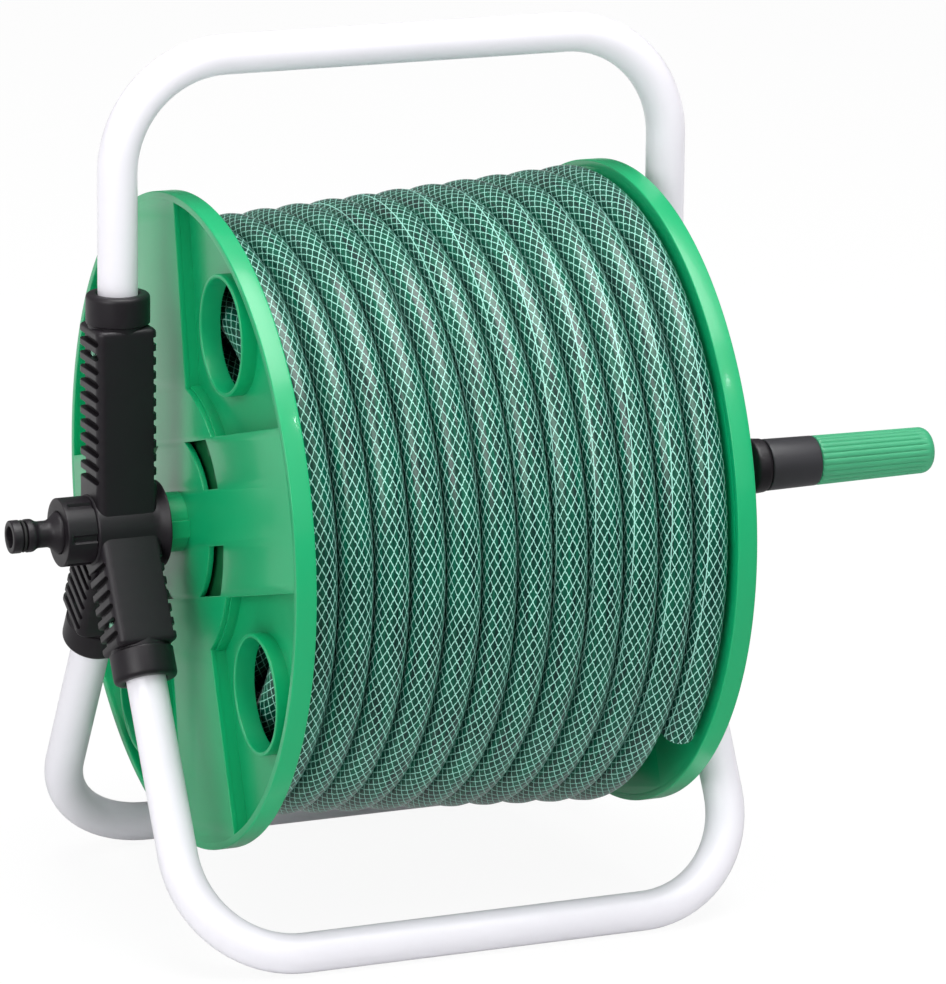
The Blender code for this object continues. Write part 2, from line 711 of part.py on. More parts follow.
def nose_outline():
    """(distance from the tip, radius) along the quick-connect nose, tip to shoulder."""
    groove = (NOSE_RING_R, NOSE_GROOVE_R, NOSE_GROOVE_R, NOSE_RING_R)
    waist = (NOSE_RING_R, NOSE_WAIST_R, NOSE_WAIST_R, NOSE_SHOULDER_R)
    tip = [(0.0, NOSE_RING_R - NOSE_EDGE), (NOSE_EDGE, NOSE_RING_R)]
    end = [(NOSE_LENGTH, NOSE_SHOULDER_R)]
    return tip + list(zip(NOSE_GROOVE, groove)) + list(zip(NOSE_WAIST, waist)) + end


def make_nose(kit):
    base = [
        (NOSE_LENGTH, STUB_R - SEAT_GAP),
        (NOSE_LENGTH + NOSE_FLANGE, STUB_R - SEAT_GAP),
        (NOSE_LENGTH + NOSE_FLANGE, NOSE_BORE_R),
        (0.0, NOSE_BORE_R),
    ]
    profile = [(NOSE_TIP_X + d, r) for d, r in nose_outline() + base]
    kit.part("connector_nose", turned_mesh(profile, SMALL_STEPS), "black_plastic", kit.reel_axis)
    middle = NOSE_TIP_X + (NOSE_GROOVE[1] + NOSE_GROOVE[2]) / 2
    ring = arc(NOSE_SEAL_R, 0.0, 2 * math.pi * 5 / 6, 5, (middle, NOSE_GROOVE_R + NOSE_SEAL_R + SEAT_GAP / 2))
    kit.part("nose_seal", turned_mesh(ring, SMALL_STEPS), "rubber", kit.reel_axis)


def flange_plate_profile():
    """The flange's plate and rim in section, as (radius, depth behind its face)."""
    socket = BARREL_R + SEAT_GAP
    return [
        (0.0, 0.0),
        (FLANGE_R, 0.0),
        (FLANGE_R, FLANGE_DEPTH),
        (socket, FLANGE_DEPTH),
        (socket, DISC_WALL),
        (0.0, DISC_WALL),
    ]


def flange_core_profiles(left):
    """The bosses in the flange's middle, and the bore through them, as (radius, depth behind its face)."""
    boss_end = DISC_WALL + INNER_BOSS_LENGTH
    inside = [(INNER_BOSS_R, DISC_WALL / 2), (INNER_BOSS_R, boss_end), (0.0, boss_end)]
    if not left:
        seat = SHAFT_R + SEAT_GAP
        seat_depth = SHAFT_SEAT + SEAT_GAP
        bore = [(0.0, -CUT_PAST), (seat, -CUT_PAST), (seat, seat_depth), (0.0, seat_depth)]
        return [(0.0, DISC_WALL / 2)] + inside, bore
    journal = LEFT_FACE_X - journal_end_x()
    outside = [
        (0.0, -journal),
        (JOURNAL_R, -journal),
        (JOURNAL_R, -LEFT_BOSS_LENGTH),
        (FLANGE_BOSS_R, -LEFT_BOSS_LENGTH),
        (FLANGE_BOSS_R, DISC_WALL / 2),
    ]
    plug = ELBOW_R + SEAT_GAP
    plug_depth = boss_end - ELBOW_PLUG - SEAT_GAP
    bore = [
        (0.0, -journal - CUT_PAST),
        (JOURNAL_BORE_R, -journal - CUT_PAST),
        (JOURNAL_BORE_R, plug_depth),
        (plug, plug_depth),
        (plug, boss_end + CUT_PAST),
        (0.0, boss_end + CUT_PAST),
    ]
    return outside + inside, bore


def band_edges():
    """Where the edges of the two bands meet the disc and the rim, in the first quadrant."""
    inner = DISC_R
    outer = FLANGE_R - RIM_WALL
    wide = WIDE_BAND_HALF
    near, far = NARROW_BAND_HALF
    return {
        "wide_in": math.asin(wide / inner),
        "wide_out": math.asin(wide / outer),
        "narrow_in": math.acos(near / inner),
        "narrow_out": math.acos(far / outer),
    }


def pocket_outline(sign_y, sign_z):
    """A pocket between two bands, the disc and the rim."""
    at = band_edges()
    outer = arc(FLANGE_R - RIM_WALL, at["wide_out"], at["narrow_out"], POCKET_STEPS[0])
    inner = arc(DISC_R, at["narrow_in"], at["wide_in"], POCKET_STEPS[1])
    return [(sign_y * y, sign_z * z) for y, z in outer + inner]


def band_outline(half_in, half_out, turn):
    """The hollow behind a band, one wall in from its edges, along the direction of turn."""
    low = DISC_R + WEB
    high = FLANGE_R - RIM_WALL - 2 * WEB
    flat = [(low, -half_in), (high, -half_out), (high, half_out), (low, half_in)]
    c, s = math.cos(turn), math.sin(turn)
    return [(c * u - s * v, s * u + c * v) for u, v in flat]


def window_outline(sign_y, sign_z):
    """A slot through the disc between two radii and two lines beside the wide band's middle."""
    low, high = WINDOW_HALF
    near, far = WINDOW_R
    far_edge = arc(far, math.asin(low / far), math.asin(high / far), 2)
    near_edge = arc(near, math.asin(high / near), math.asin(low / near), 2)
    return [(sign_y * y, sign_z * z) for y, z in far_edge + near_edge]


def hole_centres():
    reach = HOLE_CIRCLE_R / math.sqrt(2)
    return [(sy * reach, sz * reach) for sy in (-1, 1) for sz in (-1, 1)]


def cut_flange(kit, flange, face_x, inward):
    """Cuts the four pockets round their collars, the hand holes, the windows and the bands' hollows."""
    floor = FLANGE_DEPTH - WEB

    def span(a, b):
        ends = sorted((face_x + inward * a, face_x + inward * b))
        return ends[0], ends[1]

    for (y, z) in hole_centres():
        low, high = span(-CUT_PAST, floor)
        pocket = outline_mesh(pocket_outline(math.copysign(1, y), math.copysign(1, z)), low, high)
        helper = kit.apply_boolean(flange, "DIFFERENCE", pocket)
        collar = ((low - CUT_PAST, y, z), (high + CUT_PAST, y, z), COLLAR_OUTER_R)
        kit.apply_boolean(helper, "DIFFERENCE", rod_mesh([collar], SMALL_STEPS))
        low, high = span(-CUT_PAST, FLANGE_DEPTH + CUT_PAST)
        kit.apply_boolean(flange, "DIFFERENCE", rod_mesh([((low, y, z), (high, y, z), HOLE_R)], SMALL_STEPS))
        low, high = span(-CUT_PAST, DISC_WALL + SINK)
        window = outline_mesh(window_outline(math.copysign(1, y), math.copysign(1, z)), low, high)
        kit.apply_boolean(flange, "DIFFERENCE", window)
    low, high = span(WEB, FLANGE_DEPTH + SINK)
    wide = WIDE_BAND_HALF - WEB
    near, far = (half - WEB for half in NARROW_BAND_HALF)
    hollows = ((wide, wide, 0.0), (near, far, math.pi / 2), (wide, wide, math.pi), (near, far, -math.pi / 2))
    for half_in, half_out, turn in hollows:
        kit.apply_boolean(flange, "DIFFERENCE", outline_mesh(band_outline(half_in, half_out, turn), low, high))


def make_flanges(kit):
    for name, face_x, inward, left in (
        ("left_flange", LEFT_FACE_X, 1, True),
        ("right_flange", RIGHT_FACE_X, -1, False),
    ):
        core, bore = flange_core_profiles(left)
        plate, core, bore = (
            [(face_x + inward * d, r) for r, d in profile] for profile in (flange_plate_profile(), core, bore)
        )
        mesh = turned_mesh(plate, ROUND_STEPS, closed=False)
        flange = kit.part(name, mesh, "green_plastic", kit.drum_axis)
        kit.apply_boolean(flange, "UNION", turned_mesh(core, TURN_STEPS, closed=False))
        kit.apply_boolean(flange, "DIFFERENCE", turned_mesh(bore, TURN_STEPS, closed=False))
        cut_flange(kit, flange, face_x, inward)


def tab_boxes(face_x, inward):
    """Two catches of the barrel's end disc in each window."""
    height = END_DISC_DEPTH - TAB_TOP + SINK
    middle = face_x + inward * (END_DISC_DEPTH + SINK - height / 2)
    low, high = WINDOW_HALF
    boxes = []
    for sy in (-1, 1):
        for sz in (-1, 1):
            for share in (0.25, 0.75):
                z = low + share * (high - low)
                y = math.sqrt((WINDOW_R[1] - TAB_GAP) ** 2 - (z + TAB_SIZE / 2) ** 2) - TAB_SIZE / 2
                boxes.append(((height, TAB_SIZE, TAB_SIZE), Matrix.Translation((middle, sy * y, sz * z))))
    return boxes


def make_barrel(kit):
    """The barrel between the flanges, with its two end discs and the hole for the hose's inner end."""
    ends = (LEFT_FACE_X + DISC_WALL + SEAT_GAP, RIGHT_FACE_X - DISC_WALL - SEAT_GAP)
    profile = ring_profile(ends[0], ends[1], BARREL_R - BARREL_WALL, BARREL_R)
    barrel = kit.part("barrel", turned_mesh(profile, ROUND_STEPS), "green_plastic", kit.drum_axis)
    hole = ((ELBOW_DOWN_X, 0, -BARREL_R - CUT_PAST), (ELBOW_DOWN_X, 0, -BARREL_R / 2), HOSE_OD / 2 + SEAT_GAP)
    kit.apply_boolean(barrel, "DIFFERENCE", rod_mesh([hole]))
    outer_r = BARREL_R - BARREL_WALL - SEAT_GAP
    for name, face_x, inward in (("left_end_disc", LEFT_FACE_X, 1), ("right_end_disc", RIGHT_FACE_X, -1)):
        near = face_x + inward * END_DISC_DEPTH
        profile = ring_profile(near, near + inward * BARREL_WALL, INNER_BOSS_R + SEAT_GAP, outer_r)
        disc = kit.part(name, turned_mesh(profile, TURN_STEPS), "green_plastic", kit.drum_axis)
        kit.apply_boolean(disc, "UNION", box_mesh(tab_boxes(face_x, inward)))


def make_water_way(kit):
    """The elbow from the journal, and the hose's inner end clamped on its barb."""
    start_x = LEFT_FACE_X + DISC_WALL + INNER_BOSS_LENGTH - ELBOW_PLUG
    turn = arc(ELBOW_BEND, math.pi / 2, 0.0, 5, (ELBOW_DOWN_X - ELBOW_BEND, -ELBOW_BEND))
    barb_top = -(ELBOW_BEND + ELBOW_DROP)
    route = [(start_x, 0.0)] + turn + [(ELBOW_DOWN_X, barb_top), (ELBOW_DOWN_X, barb_top - BARB_TAPER)]
    route.append((ELBOW_DOWN_X, barb_top - BARB_TAPER - BARB_LENGTH))
    barb = BARB_R / ELBOW_R
    scale = [1.0] * (len(route) - 2) + [barb, barb]
    obj = swept_curve([(x, 0.0, z) for x, z in route], ELBOW_R, 2, caps=False, scale=scale)
    elbow = kit.part("water_elbow", take_mesh(obj), "black_plastic", kit.drum_axis)
    wall = elbow.modifiers.new("Wall", "SOLIDIFY")
    wall.thickness = ELBOW_WALL
    wall.offset = -1.0
    tail_top = barb_top - TAIL_LEAD
    tail_end = -math.sqrt(BARREL_R**2 - (HOSE_OD / 2) ** 2)
    tail = ring_profile(tail_top, tail_end, HOSE_BORE / 2, HOSE_OD / 2)
    down = Matrix.Translation((ELBOW_DOWN_X, 0, 0)) @ Matrix.Rotation(-math.pi / 2, 4, "Y")
    hose_tail = turned_mesh(tail, SMALL_STEPS)
    hose_tail.transform(down)
    kit.part("hose_tail", hose_tail, "hose_green", kit.drum_axis)
    clamp_top = tail_top - CLAMP_LEAD
    clamp_r = HOSE_OD / 2 + SEAT_GAP
    ring = ring_profile(clamp_top - CLAMP_WIDTH, clamp_top, clamp_r, clamp_r + CLAMP_WALL)
    clamp = turned_mesh(ring, SMALL_STEPS)
    clamp.transform(down)
    kit.part("hose_clamp", clamp, "zinc", kit.drum_axis)


def turn_radius(x):
    """The winding's middle radius at a place along the drum. It lies higher towards the crank."""
    return WINDING_R - WINDING_RISE * (1 - (x - FIRST_TURN_X) / ((STRANDS - 1) * PITCH))


def winding_point(angle):
    """A point of the outer layer. Angles run from the top over the front, and go on from turn to turn.

    Each turn lies in one plane over the top and front, and crosses to the next one low at the back.
    """
    turns = (angle - CROSSING_MIDDLE) / (2 * math.pi)
    nearest = math.floor(turns + 0.5)
    width = CROSSING_ARC / (2 * math.pi)
    share = min(max((turns - nearest) / width + 0.5, 0.0), 1.0)
    strand = nearest - 1 + share * share * (3 - 2 * share)
    x = FIRST_TURN_X + strand * PITCH
    return Vector((x, -turn_radius(x) * math.sin(angle), turn_radius(x) * math.cos(angle)))


def winding_points():
    """The outer layer's middle line, with a straight run of one hose diameter at each end."""
    last = 2 * math.pi * (STRANDS - 1) + WINDING_END
    step = 2 * math.pi / LOOP_POINTS
    count = int((last - WINDING_START) / step)
    angles = [last - i * step for i in range(count, -1, -1)]
    points = [winding_point(a) for a in angles]
    first_run = (points[0] - points[1]).normalized() * HOSE_OD
    last_run = (points[-1] - points[-2]).normalized() * HOSE_OD
    return [points[0] + first_run] + points + [points[-1] + last_run]


def least_gap(points):
    """The least distance between the hose's skins on different turns, at some places along each straight."""
    corners = np.array([tuple(p) for p in points])
    share = np.arange(GAP_SAMPLES)[:, None] / GAP_SAMPLES
    line = np.concatenate([a + share * (b - a) for a, b in zip(corners, corners[1:])])
    away = np.linalg.norm(line[:, None, :] - line[None, :, :], axis=2)
    index = np.arange(len(line))
    other_turn = np.abs(index[:, None] - index[None, :]) > GAP_SAMPLES * LOOP_POINTS // 2
    return away[other_turn].min() - HOSE_OD


def hose_length(points):
    """The outer layer's length, and that of all the layers down to the barrel."""
    outer = sum((b - a).length for a, b in zip(points, points[1:]))
    layer_rise = HOSE_OD * math.sqrt(3) / 2
    mean_r = WINDING_R - WINDING_RISE / 2
    layers = int((mean_r - BARREL_R) / layer_rise)
    inner = sum(2 * math.pi * (mean_r - layer_rise * i) * (STRANDS - 0.5) for i in range(1, layers))
    return outer, outer + inner


def make_hose(kit):
    """The inner layers as a plain core, and the outer layer as one wound tube.

    The winding is drawn as it lies at rest, so its end points down at the front.
    """
    inner_x = DRUM_WIDTH / 2 - SEAT_GAP
    middle = (LEFT_FACE_X + RIGHT_FACE_X) / 2
    hidden = HOSE_OD / 2 + SEAT_GAP
    ends = (middle - inner_x, middle + inner_x)
    near, far = (turn_radius(x) * math.cos(math.pi / LOOP_POINTS) - hidden for x in ends)
    seat = BARREL_R + SEAT_GAP
    profile = [(ends[0], seat), (ends[0], near), (ends[1], far), (ends[1], seat)]
    kit.part("hose_core", turned_mesh(profile, ROUND_STEPS), "hose_green", kit.drum_axis)
    points = winding_points()
    unturn = Matrix.Rotation(-DRUM_REST, 3, "X")
    obj = swept_curve([tuple(unturn @ p) for p in points], HOSE_OD / 2, 1)
    kit.part("hose_winding", take_mesh(obj), "hose_green", kit.drum_axis)
    outer, total = hose_length(points)
    print(f"hose_winding least gap {least_gap(points) * 1000:.2f} mm")
    print(f"hose length {outer:.1f} m in the outer layer, {total:.1f} m in all")


def crank_outline():
    """The arm's outline from above its face: a hub circle and an end circle joined by their tangents."""
    lean = math.asin((CRANK_HUB_R - CRANK_END_R) / CRANK_RADIUS)
    hub = arc(CRANK_HUB_R, -math.pi / 2 - lean, math.pi / 2 + lean, 12)
    end = arc(CRANK_END_R, math.pi / 2 + lean, 3 * math.pi / 2 - lean, 10, (-CRANK_RADIUS, 0.0))
    return hub + end


def make_crank(kit):
    """The shaft fixed in the right flange, the arm on it, and the bolt and washer that hold the arm."""
    shaft_low = RIGHT_FACE_X - SHAFT_SEAT
    shaft_high = CRANK_FACE_X - CRANK_CAP - SEAT_GAP
    shaft = rod_mesh([((shaft_low, 0, 0), (shaft_high, 0, 0), SHAFT_R)])
    shaft = kit.part("crank_shaft", shaft, "zinc", kit.drum_axis)
    tap = ((shaft_high - BOLT_LENGTH, 0, 0), (shaft_high + CUT_PAST, 0, 0), BOLT_R + SEAT_GAP)
    kit.apply_boolean(shaft, "DIFFERENCE", rod_mesh([tap], BOLT_STEPS))
    arm_mesh = outline_mesh(crank_outline(), CRANK_X, CRANK_FACE_X)
    arm = kit.part("crank_arm", arm_mesh, "black_plastic", kit.drum_axis)
    socket = ((CRANK_X - CUT_PAST, 0, 0), (shaft_high + SEAT_GAP, 0, 0), SHAFT_R + SEAT_GAP)
    kit.apply_boolean(arm, "DIFFERENCE", rod_mesh([socket]))
    through = ((shaft_high - SINK, 0, 0), (CRANK_FACE_X + CUT_PAST, 0, 0), BOLT_R + SEAT_GAP)
    kit.apply_boolean(arm, "DIFFERENCE", rod_mesh([through], BOLT_STEPS))
    y = -CRANK_RADIUS
    seat_end = CRANK_FACE_X - SPINDLE_SEAT - SEAT_GAP
    seat = ((seat_end, y, 0), (CRANK_FACE_X + CUT_PAST, y, 0), SPINDLE_R + SEAT_GAP)
    kit.apply_boolean(arm, "DIFFERENCE", rod_mesh([seat], TURN_STEPS))
    washer_x = CRANK_FACE_X + SEAT_GAP
    washer = ring_profile(washer_x, washer_x + CRANK_WASHER_THICK, BOLT_R + SEAT_GAP, CRANK_WASHER_R)
    kit.part("crank_washer", turned_mesh(washer, SMALL_STEPS), "zinc", kit.drum_axis)
    head_x = washer_x + CRANK_WASHER_THICK + SEAT_GAP
    bolt = [
        (head_x + BOLT_HEAD_HEIGHT, 0.0),
        (head_x + BOLT_HEAD_HEIGHT, BOLT_HEAD_R * 0.8),
        (head_x + BOLT_HEAD_HEIGHT * 0.6, BOLT_HEAD_R),
        (head_x, BOLT_HEAD_R),
        (head_x, BOLT_R),
        (shaft_high - BOLT_LENGTH + SINK, BOLT_R),
        (shaft_high - BOLT_LENGTH + SINK, 0.0),
    ]
    kit.part("crank_bolt", turned_mesh(bolt, BOLT_STEPS, closed=False), "zinc", kit.drum_axis)


def make_grip(kit):
    """The spindle and sleeve fixed to the arm, and the grip that turns on the spindle."""
    start = CRANK_FACE_X - SPINDLE_SEAT
    end = GRIP_TIP_X - GRIP_END_WALL - 2 * SEAT_GAP
    spindle = rod_mesh([((start, 0, 0), (end, 0, 0), SPINDLE_R)])
    kit.part("grip_spindle", spindle, "zinc", kit.grip_axis)
    sleeve_x = CRANK_FACE_X + SEAT_GAP
    bore = SPINDLE_R + SEAT_GAP
    sleeve = [
        (sleeve_x, bore),
        (sleeve_x, SLEEVE_R[0]),
        (sleeve_x + SLEEVE_LENGTH, SLEEVE_R[1]),
        (sleeve_x + SLEEVE_LENGTH, bore),
    ]
    kit.part("grip_sleeve", turned_mesh(sleeve, TURN_STEPS), "grey_plastic", kit.grip_axis)
    run = SPINDLE_R + RUNNING_CLEARANCE
    corner_x = GRIP_TIP_X - GRIP_ROUND
    tip = arc(GRIP_ROUND, math.pi / 2, 0.0, 3, (corner_x, GRIP_R[1] - GRIP_ROUND))
    blind = GRIP_TIP_X - GRIP_END_WALL
    grip = [(blind, 0.0), (blind, run), (GRIP_X, run), (GRIP_X, GRIP_R[0])] + tip + [(GRIP_TIP_X, 0.0)]
    kit.part("grip", turned_mesh(grip, TURN_STEPS, closed=False), "grip_green", kit.grip_axis)


def main():
    clear_scene()
    kit = Kit()
    make_frame_tubes(kit)
    for side in (-1, 1):
        make_hub(kit, side)
    make_hub_screws(kit)
    make_bearings(kit)
    make_inlet_pipe(kit)
    make_connector(kit)
    make_flanges(kit)
    make_barrel(kit)
    make_water_way(kit)
    make_hose(kit)
    make_crank(kit)
    make_grip(kit)


main()
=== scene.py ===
"""Looks for the hose reel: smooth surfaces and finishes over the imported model, seen as in the photograph.

Every length is in metres and every place is in the model's own frame. X runs along the drum's axle from
the water inlet to the crank, Y to the rear and Z up. New pieces are grids of points worked out with numpy.
"""
import json
import logging
import math
from dataclasses import dataclass
from enum import Enum
from functools import cache, partial
from itertools import pairwise

import bpy
import numpy as np
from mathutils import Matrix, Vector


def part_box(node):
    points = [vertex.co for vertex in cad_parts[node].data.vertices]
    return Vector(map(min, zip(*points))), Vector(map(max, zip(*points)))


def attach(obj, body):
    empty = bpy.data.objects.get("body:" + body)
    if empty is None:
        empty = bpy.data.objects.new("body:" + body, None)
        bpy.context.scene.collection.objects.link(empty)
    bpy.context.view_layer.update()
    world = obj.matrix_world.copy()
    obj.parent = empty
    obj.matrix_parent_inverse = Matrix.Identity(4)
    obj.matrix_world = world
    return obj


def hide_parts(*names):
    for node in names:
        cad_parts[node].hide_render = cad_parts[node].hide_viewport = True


log = logging.getLogger("hose_reel")
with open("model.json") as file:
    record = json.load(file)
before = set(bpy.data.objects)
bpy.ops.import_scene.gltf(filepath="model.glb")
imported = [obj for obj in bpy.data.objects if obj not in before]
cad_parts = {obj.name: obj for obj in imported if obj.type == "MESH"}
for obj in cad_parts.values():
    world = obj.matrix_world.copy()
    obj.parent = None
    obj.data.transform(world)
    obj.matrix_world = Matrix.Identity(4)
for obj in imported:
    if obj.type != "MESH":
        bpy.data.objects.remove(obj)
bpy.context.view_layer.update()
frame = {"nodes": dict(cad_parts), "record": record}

Array = np.ndarray
Tree = bpy.types.NodeTree
Node = bpy.types.Node
Socket = bpy.types.NodeSocket
Object = bpy.types.Object
Material = bpy.types.Material
Rgb = tuple[int, int, int]

AXLE = np.array([-0.0307, 0.0, 0.20363])
ALONG_X = np.array([1.0, 0, 0])
DRUM_TURN = math.radians(-16.0)
HUB_OFFSET = 0.14725
TUBE_RADIUS = 0.00998
LEG_ANGLE = math.radians(30.4)
UPWARD = np.array([0, 0, 1.0])
TO_FRONT = np.array([0, -math.sin(LEG_ANGLE), -math.cos(LEG_ANGLE)])
TO_REAR = np.array([0, math.sin(LEG_ANGLE), -math.cos(LEG_ANGLE)])
QUADRANTS = ((1, 1), (-1, 1), (-1, -1), (1, -1))
QUARTER = math.pi / 2
TINY = 1e-6
NEARLY_ZERO = 1e-9
STEPS_PER_METRE = 1e7


class Body(Enum):
    """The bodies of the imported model."""

    FRAME = "frame"
    DRUM = "drum"
    GRIP = "grip"


class Slot(Enum):
    """The record's material slots."""

    WHITE_PAINT = "white_paint"
    BLACK_PLASTIC = "black_plastic"
    GREEN_PLASTIC = "green_plastic"
    GRIP_GREEN = "grip_green"
    GREY_PLASTIC = "grey_plastic"
    HOSE_GREEN = "hose_green"
    RUBBER = "rubber"
    ZINC = "zinc"
    BEARING_PLASTIC = "bearing_plastic"


class End(Enum):
    """The two ends of the axle, as the sign of X."""

    INLET = -1
    CRANK = 1

    @property
    def label(self) -> str:
        """How the nodes at this end are named."""
        return "left" if self is End.INLET else "right"


# ---------------------------------------------------------------- grids and meshes


def closing_angles(steps: int) -> Array:
    """Angles once round in a number of equal steps, of which the last repeats the first exactly."""
    return 2 * math.pi * (np.arange(steps + 1) % steps) / steps


def circle(angles: Array) -> Array:
    """(cos a, sin a) of each angle, along a new last axis."""
    return np.stack([np.cos(angles), np.sin(angles)], axis=-1)


def arc(radius: float, start: float, end: float, count: int) -> Array:
    """Points (r cos a, r sin a) at even angles from start to end."""
    return radius * circle(np.linspace(start, end, count))


def wheel(radii: Array, steps: int) -> Array:
    """Each radius carried once round, as a row of points (r cos a, r sin a)."""
    return radii[:, None, None] * circle(closing_angles(steps))


def joined(first: Array, second: Array) -> Array:
    """Two grids side by side along the last axis, each repeated to the rows and columns of the other."""
    shape = np.broadcast_shapes(first.shape[:-1], second.shape[:-1])
    return np.concatenate([np.broadcast_to(g, shape + g.shape[-1:]) for g in (first, second)], axis=-1)


def ramp(value: Array, run: float) -> Array:
    """Rises evenly from 0, where the value is 0 or less, to 1, where it is the run or more."""
    return np.clip(value / run, 0, 1)


def eased(share: Array) -> Array:
    """q^2 (3 - 2 q), which leaves 0 and reaches 1 without a bend."""
    return share**2 * (3 - 2 * share)


def soften(corners: Array, cuts: float | Array, steps: int = 5) -> Array:
    """Rounds the inner corners of an open line.

    Each corner P between A and B, which lie one cut away from it on its two sides, becomes the curve
    (1 - t)^2 A + 2 t (1 - t) P + t^2 B. A cut takes at most just under half of a side.

    Args:
        corners: the line's points, one row each.
        cuts: how far the rounding reaches from each inner corner.
        steps: how many faces each rounding has.

    Returns:
        The rounded line's points.
    """
    corner = corners[1:-1]
    cuts = np.broadcast_to(np.asarray(cuts, float), len(corner))[:, None]
    to_last, to_next = corners[:-2] - corner, corners[2:] - corner
    last_length = np.maximum(np.linalg.norm(to_last, axis=1, keepdims=True), NEARLY_ZERO)
    next_length = np.maximum(np.linalg.norm(to_next, axis=1, keepdims=True), NEARLY_ZERO)
    reach = np.minimum(cuts, 0.49 * np.minimum(last_length, next_length))
    a = (corner + to_last * reach / last_length)[:, None, :]
    b = (corner + to_next * reach / next_length)[:, None, :]
    t = np.linspace(0, 1, steps + 1)[None, :, None]
    curve = (1 - t) ** 2 * a + 2 * t * (1 - t) * corner[:, None, :] + t**2 * b
    return np.concatenate([corners[:1], curve.reshape(-1, corners.shape[1]), corners[-1:]])


def ring(profile: Array) -> Array:
    """Closes a profile onto its own first point."""
    return np.concatenate([profile, profile[:1]])


def ring_soft(corners: Array, cut: float) -> Array:
    """Rounds every corner of a closed profile, from the middle of its first side round to there again."""
    middle = (corners[:1] + corners[1:2]) / 2
    return soften(np.concatenate([middle, corners[1:], corners[:1], middle]), cut, 4)


def turned(profile: Array, steps: int, centre: Array = AXLE) -> Array:
    """A surface of revolution about a line along X: (x, r) goes to (x, y + r cos a, z + r sin a)."""
    return joined(profile[:, :1, None], centre[1:] + wheel(profile[:, 1], steps))


def shrunk(grid: Array, share: Array, centre: Array) -> Array:
    """Moves a grid's points to a share of their distance from the line along X through the centre."""
    yz = centre[1:] + (grid[..., 1:] - centre[1:]) * share[..., None]
    return np.concatenate([grid[..., :1], yz], axis=-1)


def capped(grid: Array) -> Array:
    """Closes a tube's two open ends with fans to the middle of each end row."""
    first = np.broadcast_to(grid[0, :-1].mean(axis=0), grid[:1].shape)
    last = np.broadcast_to(grid[-1, :-1].mean(axis=0), grid[-1:].shape)
    return np.concatenate([first, grid, last])


def unit(vectors: Array) -> Array:
    """Each vector divided by its length."""
    return vectors / np.linalg.norm(vectors, axis=-1, keepdims=True)


def tangents(path: Array) -> Array:
    """The direction of a path at each of its points, from the points on each side of it."""
    return unit(np.gradient(path, axis=0))


def swept(path: Array, radius: float, guide: Array, sides: int) -> Array:
    """A round tube along a path.

    With t the path's direction, s = t x guide and u = s x t, each row is P + r (cos a s + sin a u).

    Args:
        path: the points of the middle line.
        radius: the tube's radius.
        guide: a direction that is never along the path.
        sides: how many faces go round.

    Returns:
        The grid, one row for each point.
    """
    along = tangents(path)
    side = unit(np.cross(along, np.broadcast_to(guide, along.shape)))
    up = np.cross(side, along)
    angles = closing_angles(sides)[None, :, None]
    return path[:, None, :] + radius * (np.cos(angles) * side[:, None, :] + np.sin(angles) * up[:, None, :])


def on_drum(points: Array) -> Array:
    """Turns points about the axle from the drum's own frame to its angle at rest.

    y' = y cos a - z sin a and z' = y sin a + z cos a, and then the axle's height is added.

    Args:
        points: points whose Y and Z count from the axle, and whose X is the world's.

    Returns:
        The points in the world.
    """
    c, s = math.cos(DRUM_TURN), math.sin(DRUM_TURN)
    x, y, z = points[..., 0], points[..., 1], points[..., 2]
    return np.stack([x, y * c - z * s, y * s + z * c + AXLE[2]], axis=-1)


def outward(points: Array, faces: Array) -> Array:
    """Turns a closed shell's faces round if they point inwards.

    The sum of a . (b x c), over the faces or over both halves of each quad, is six times the volume
    that they enclose, and it is negative where they point inwards.

    Args:
        points: the shell's points.
        faces: three or four corners a face.

    Returns:
        The faces, which point outwards.
    """
    first, *others = (points[faces[:, k]] - points[0] for k in range(faces.shape[1]))
    volume = sum(np.einsum("ij,ij", first, np.cross(b, c)) for b, c in pairwise(others))
    return faces[:, ::-1] if volume < 0 else faces


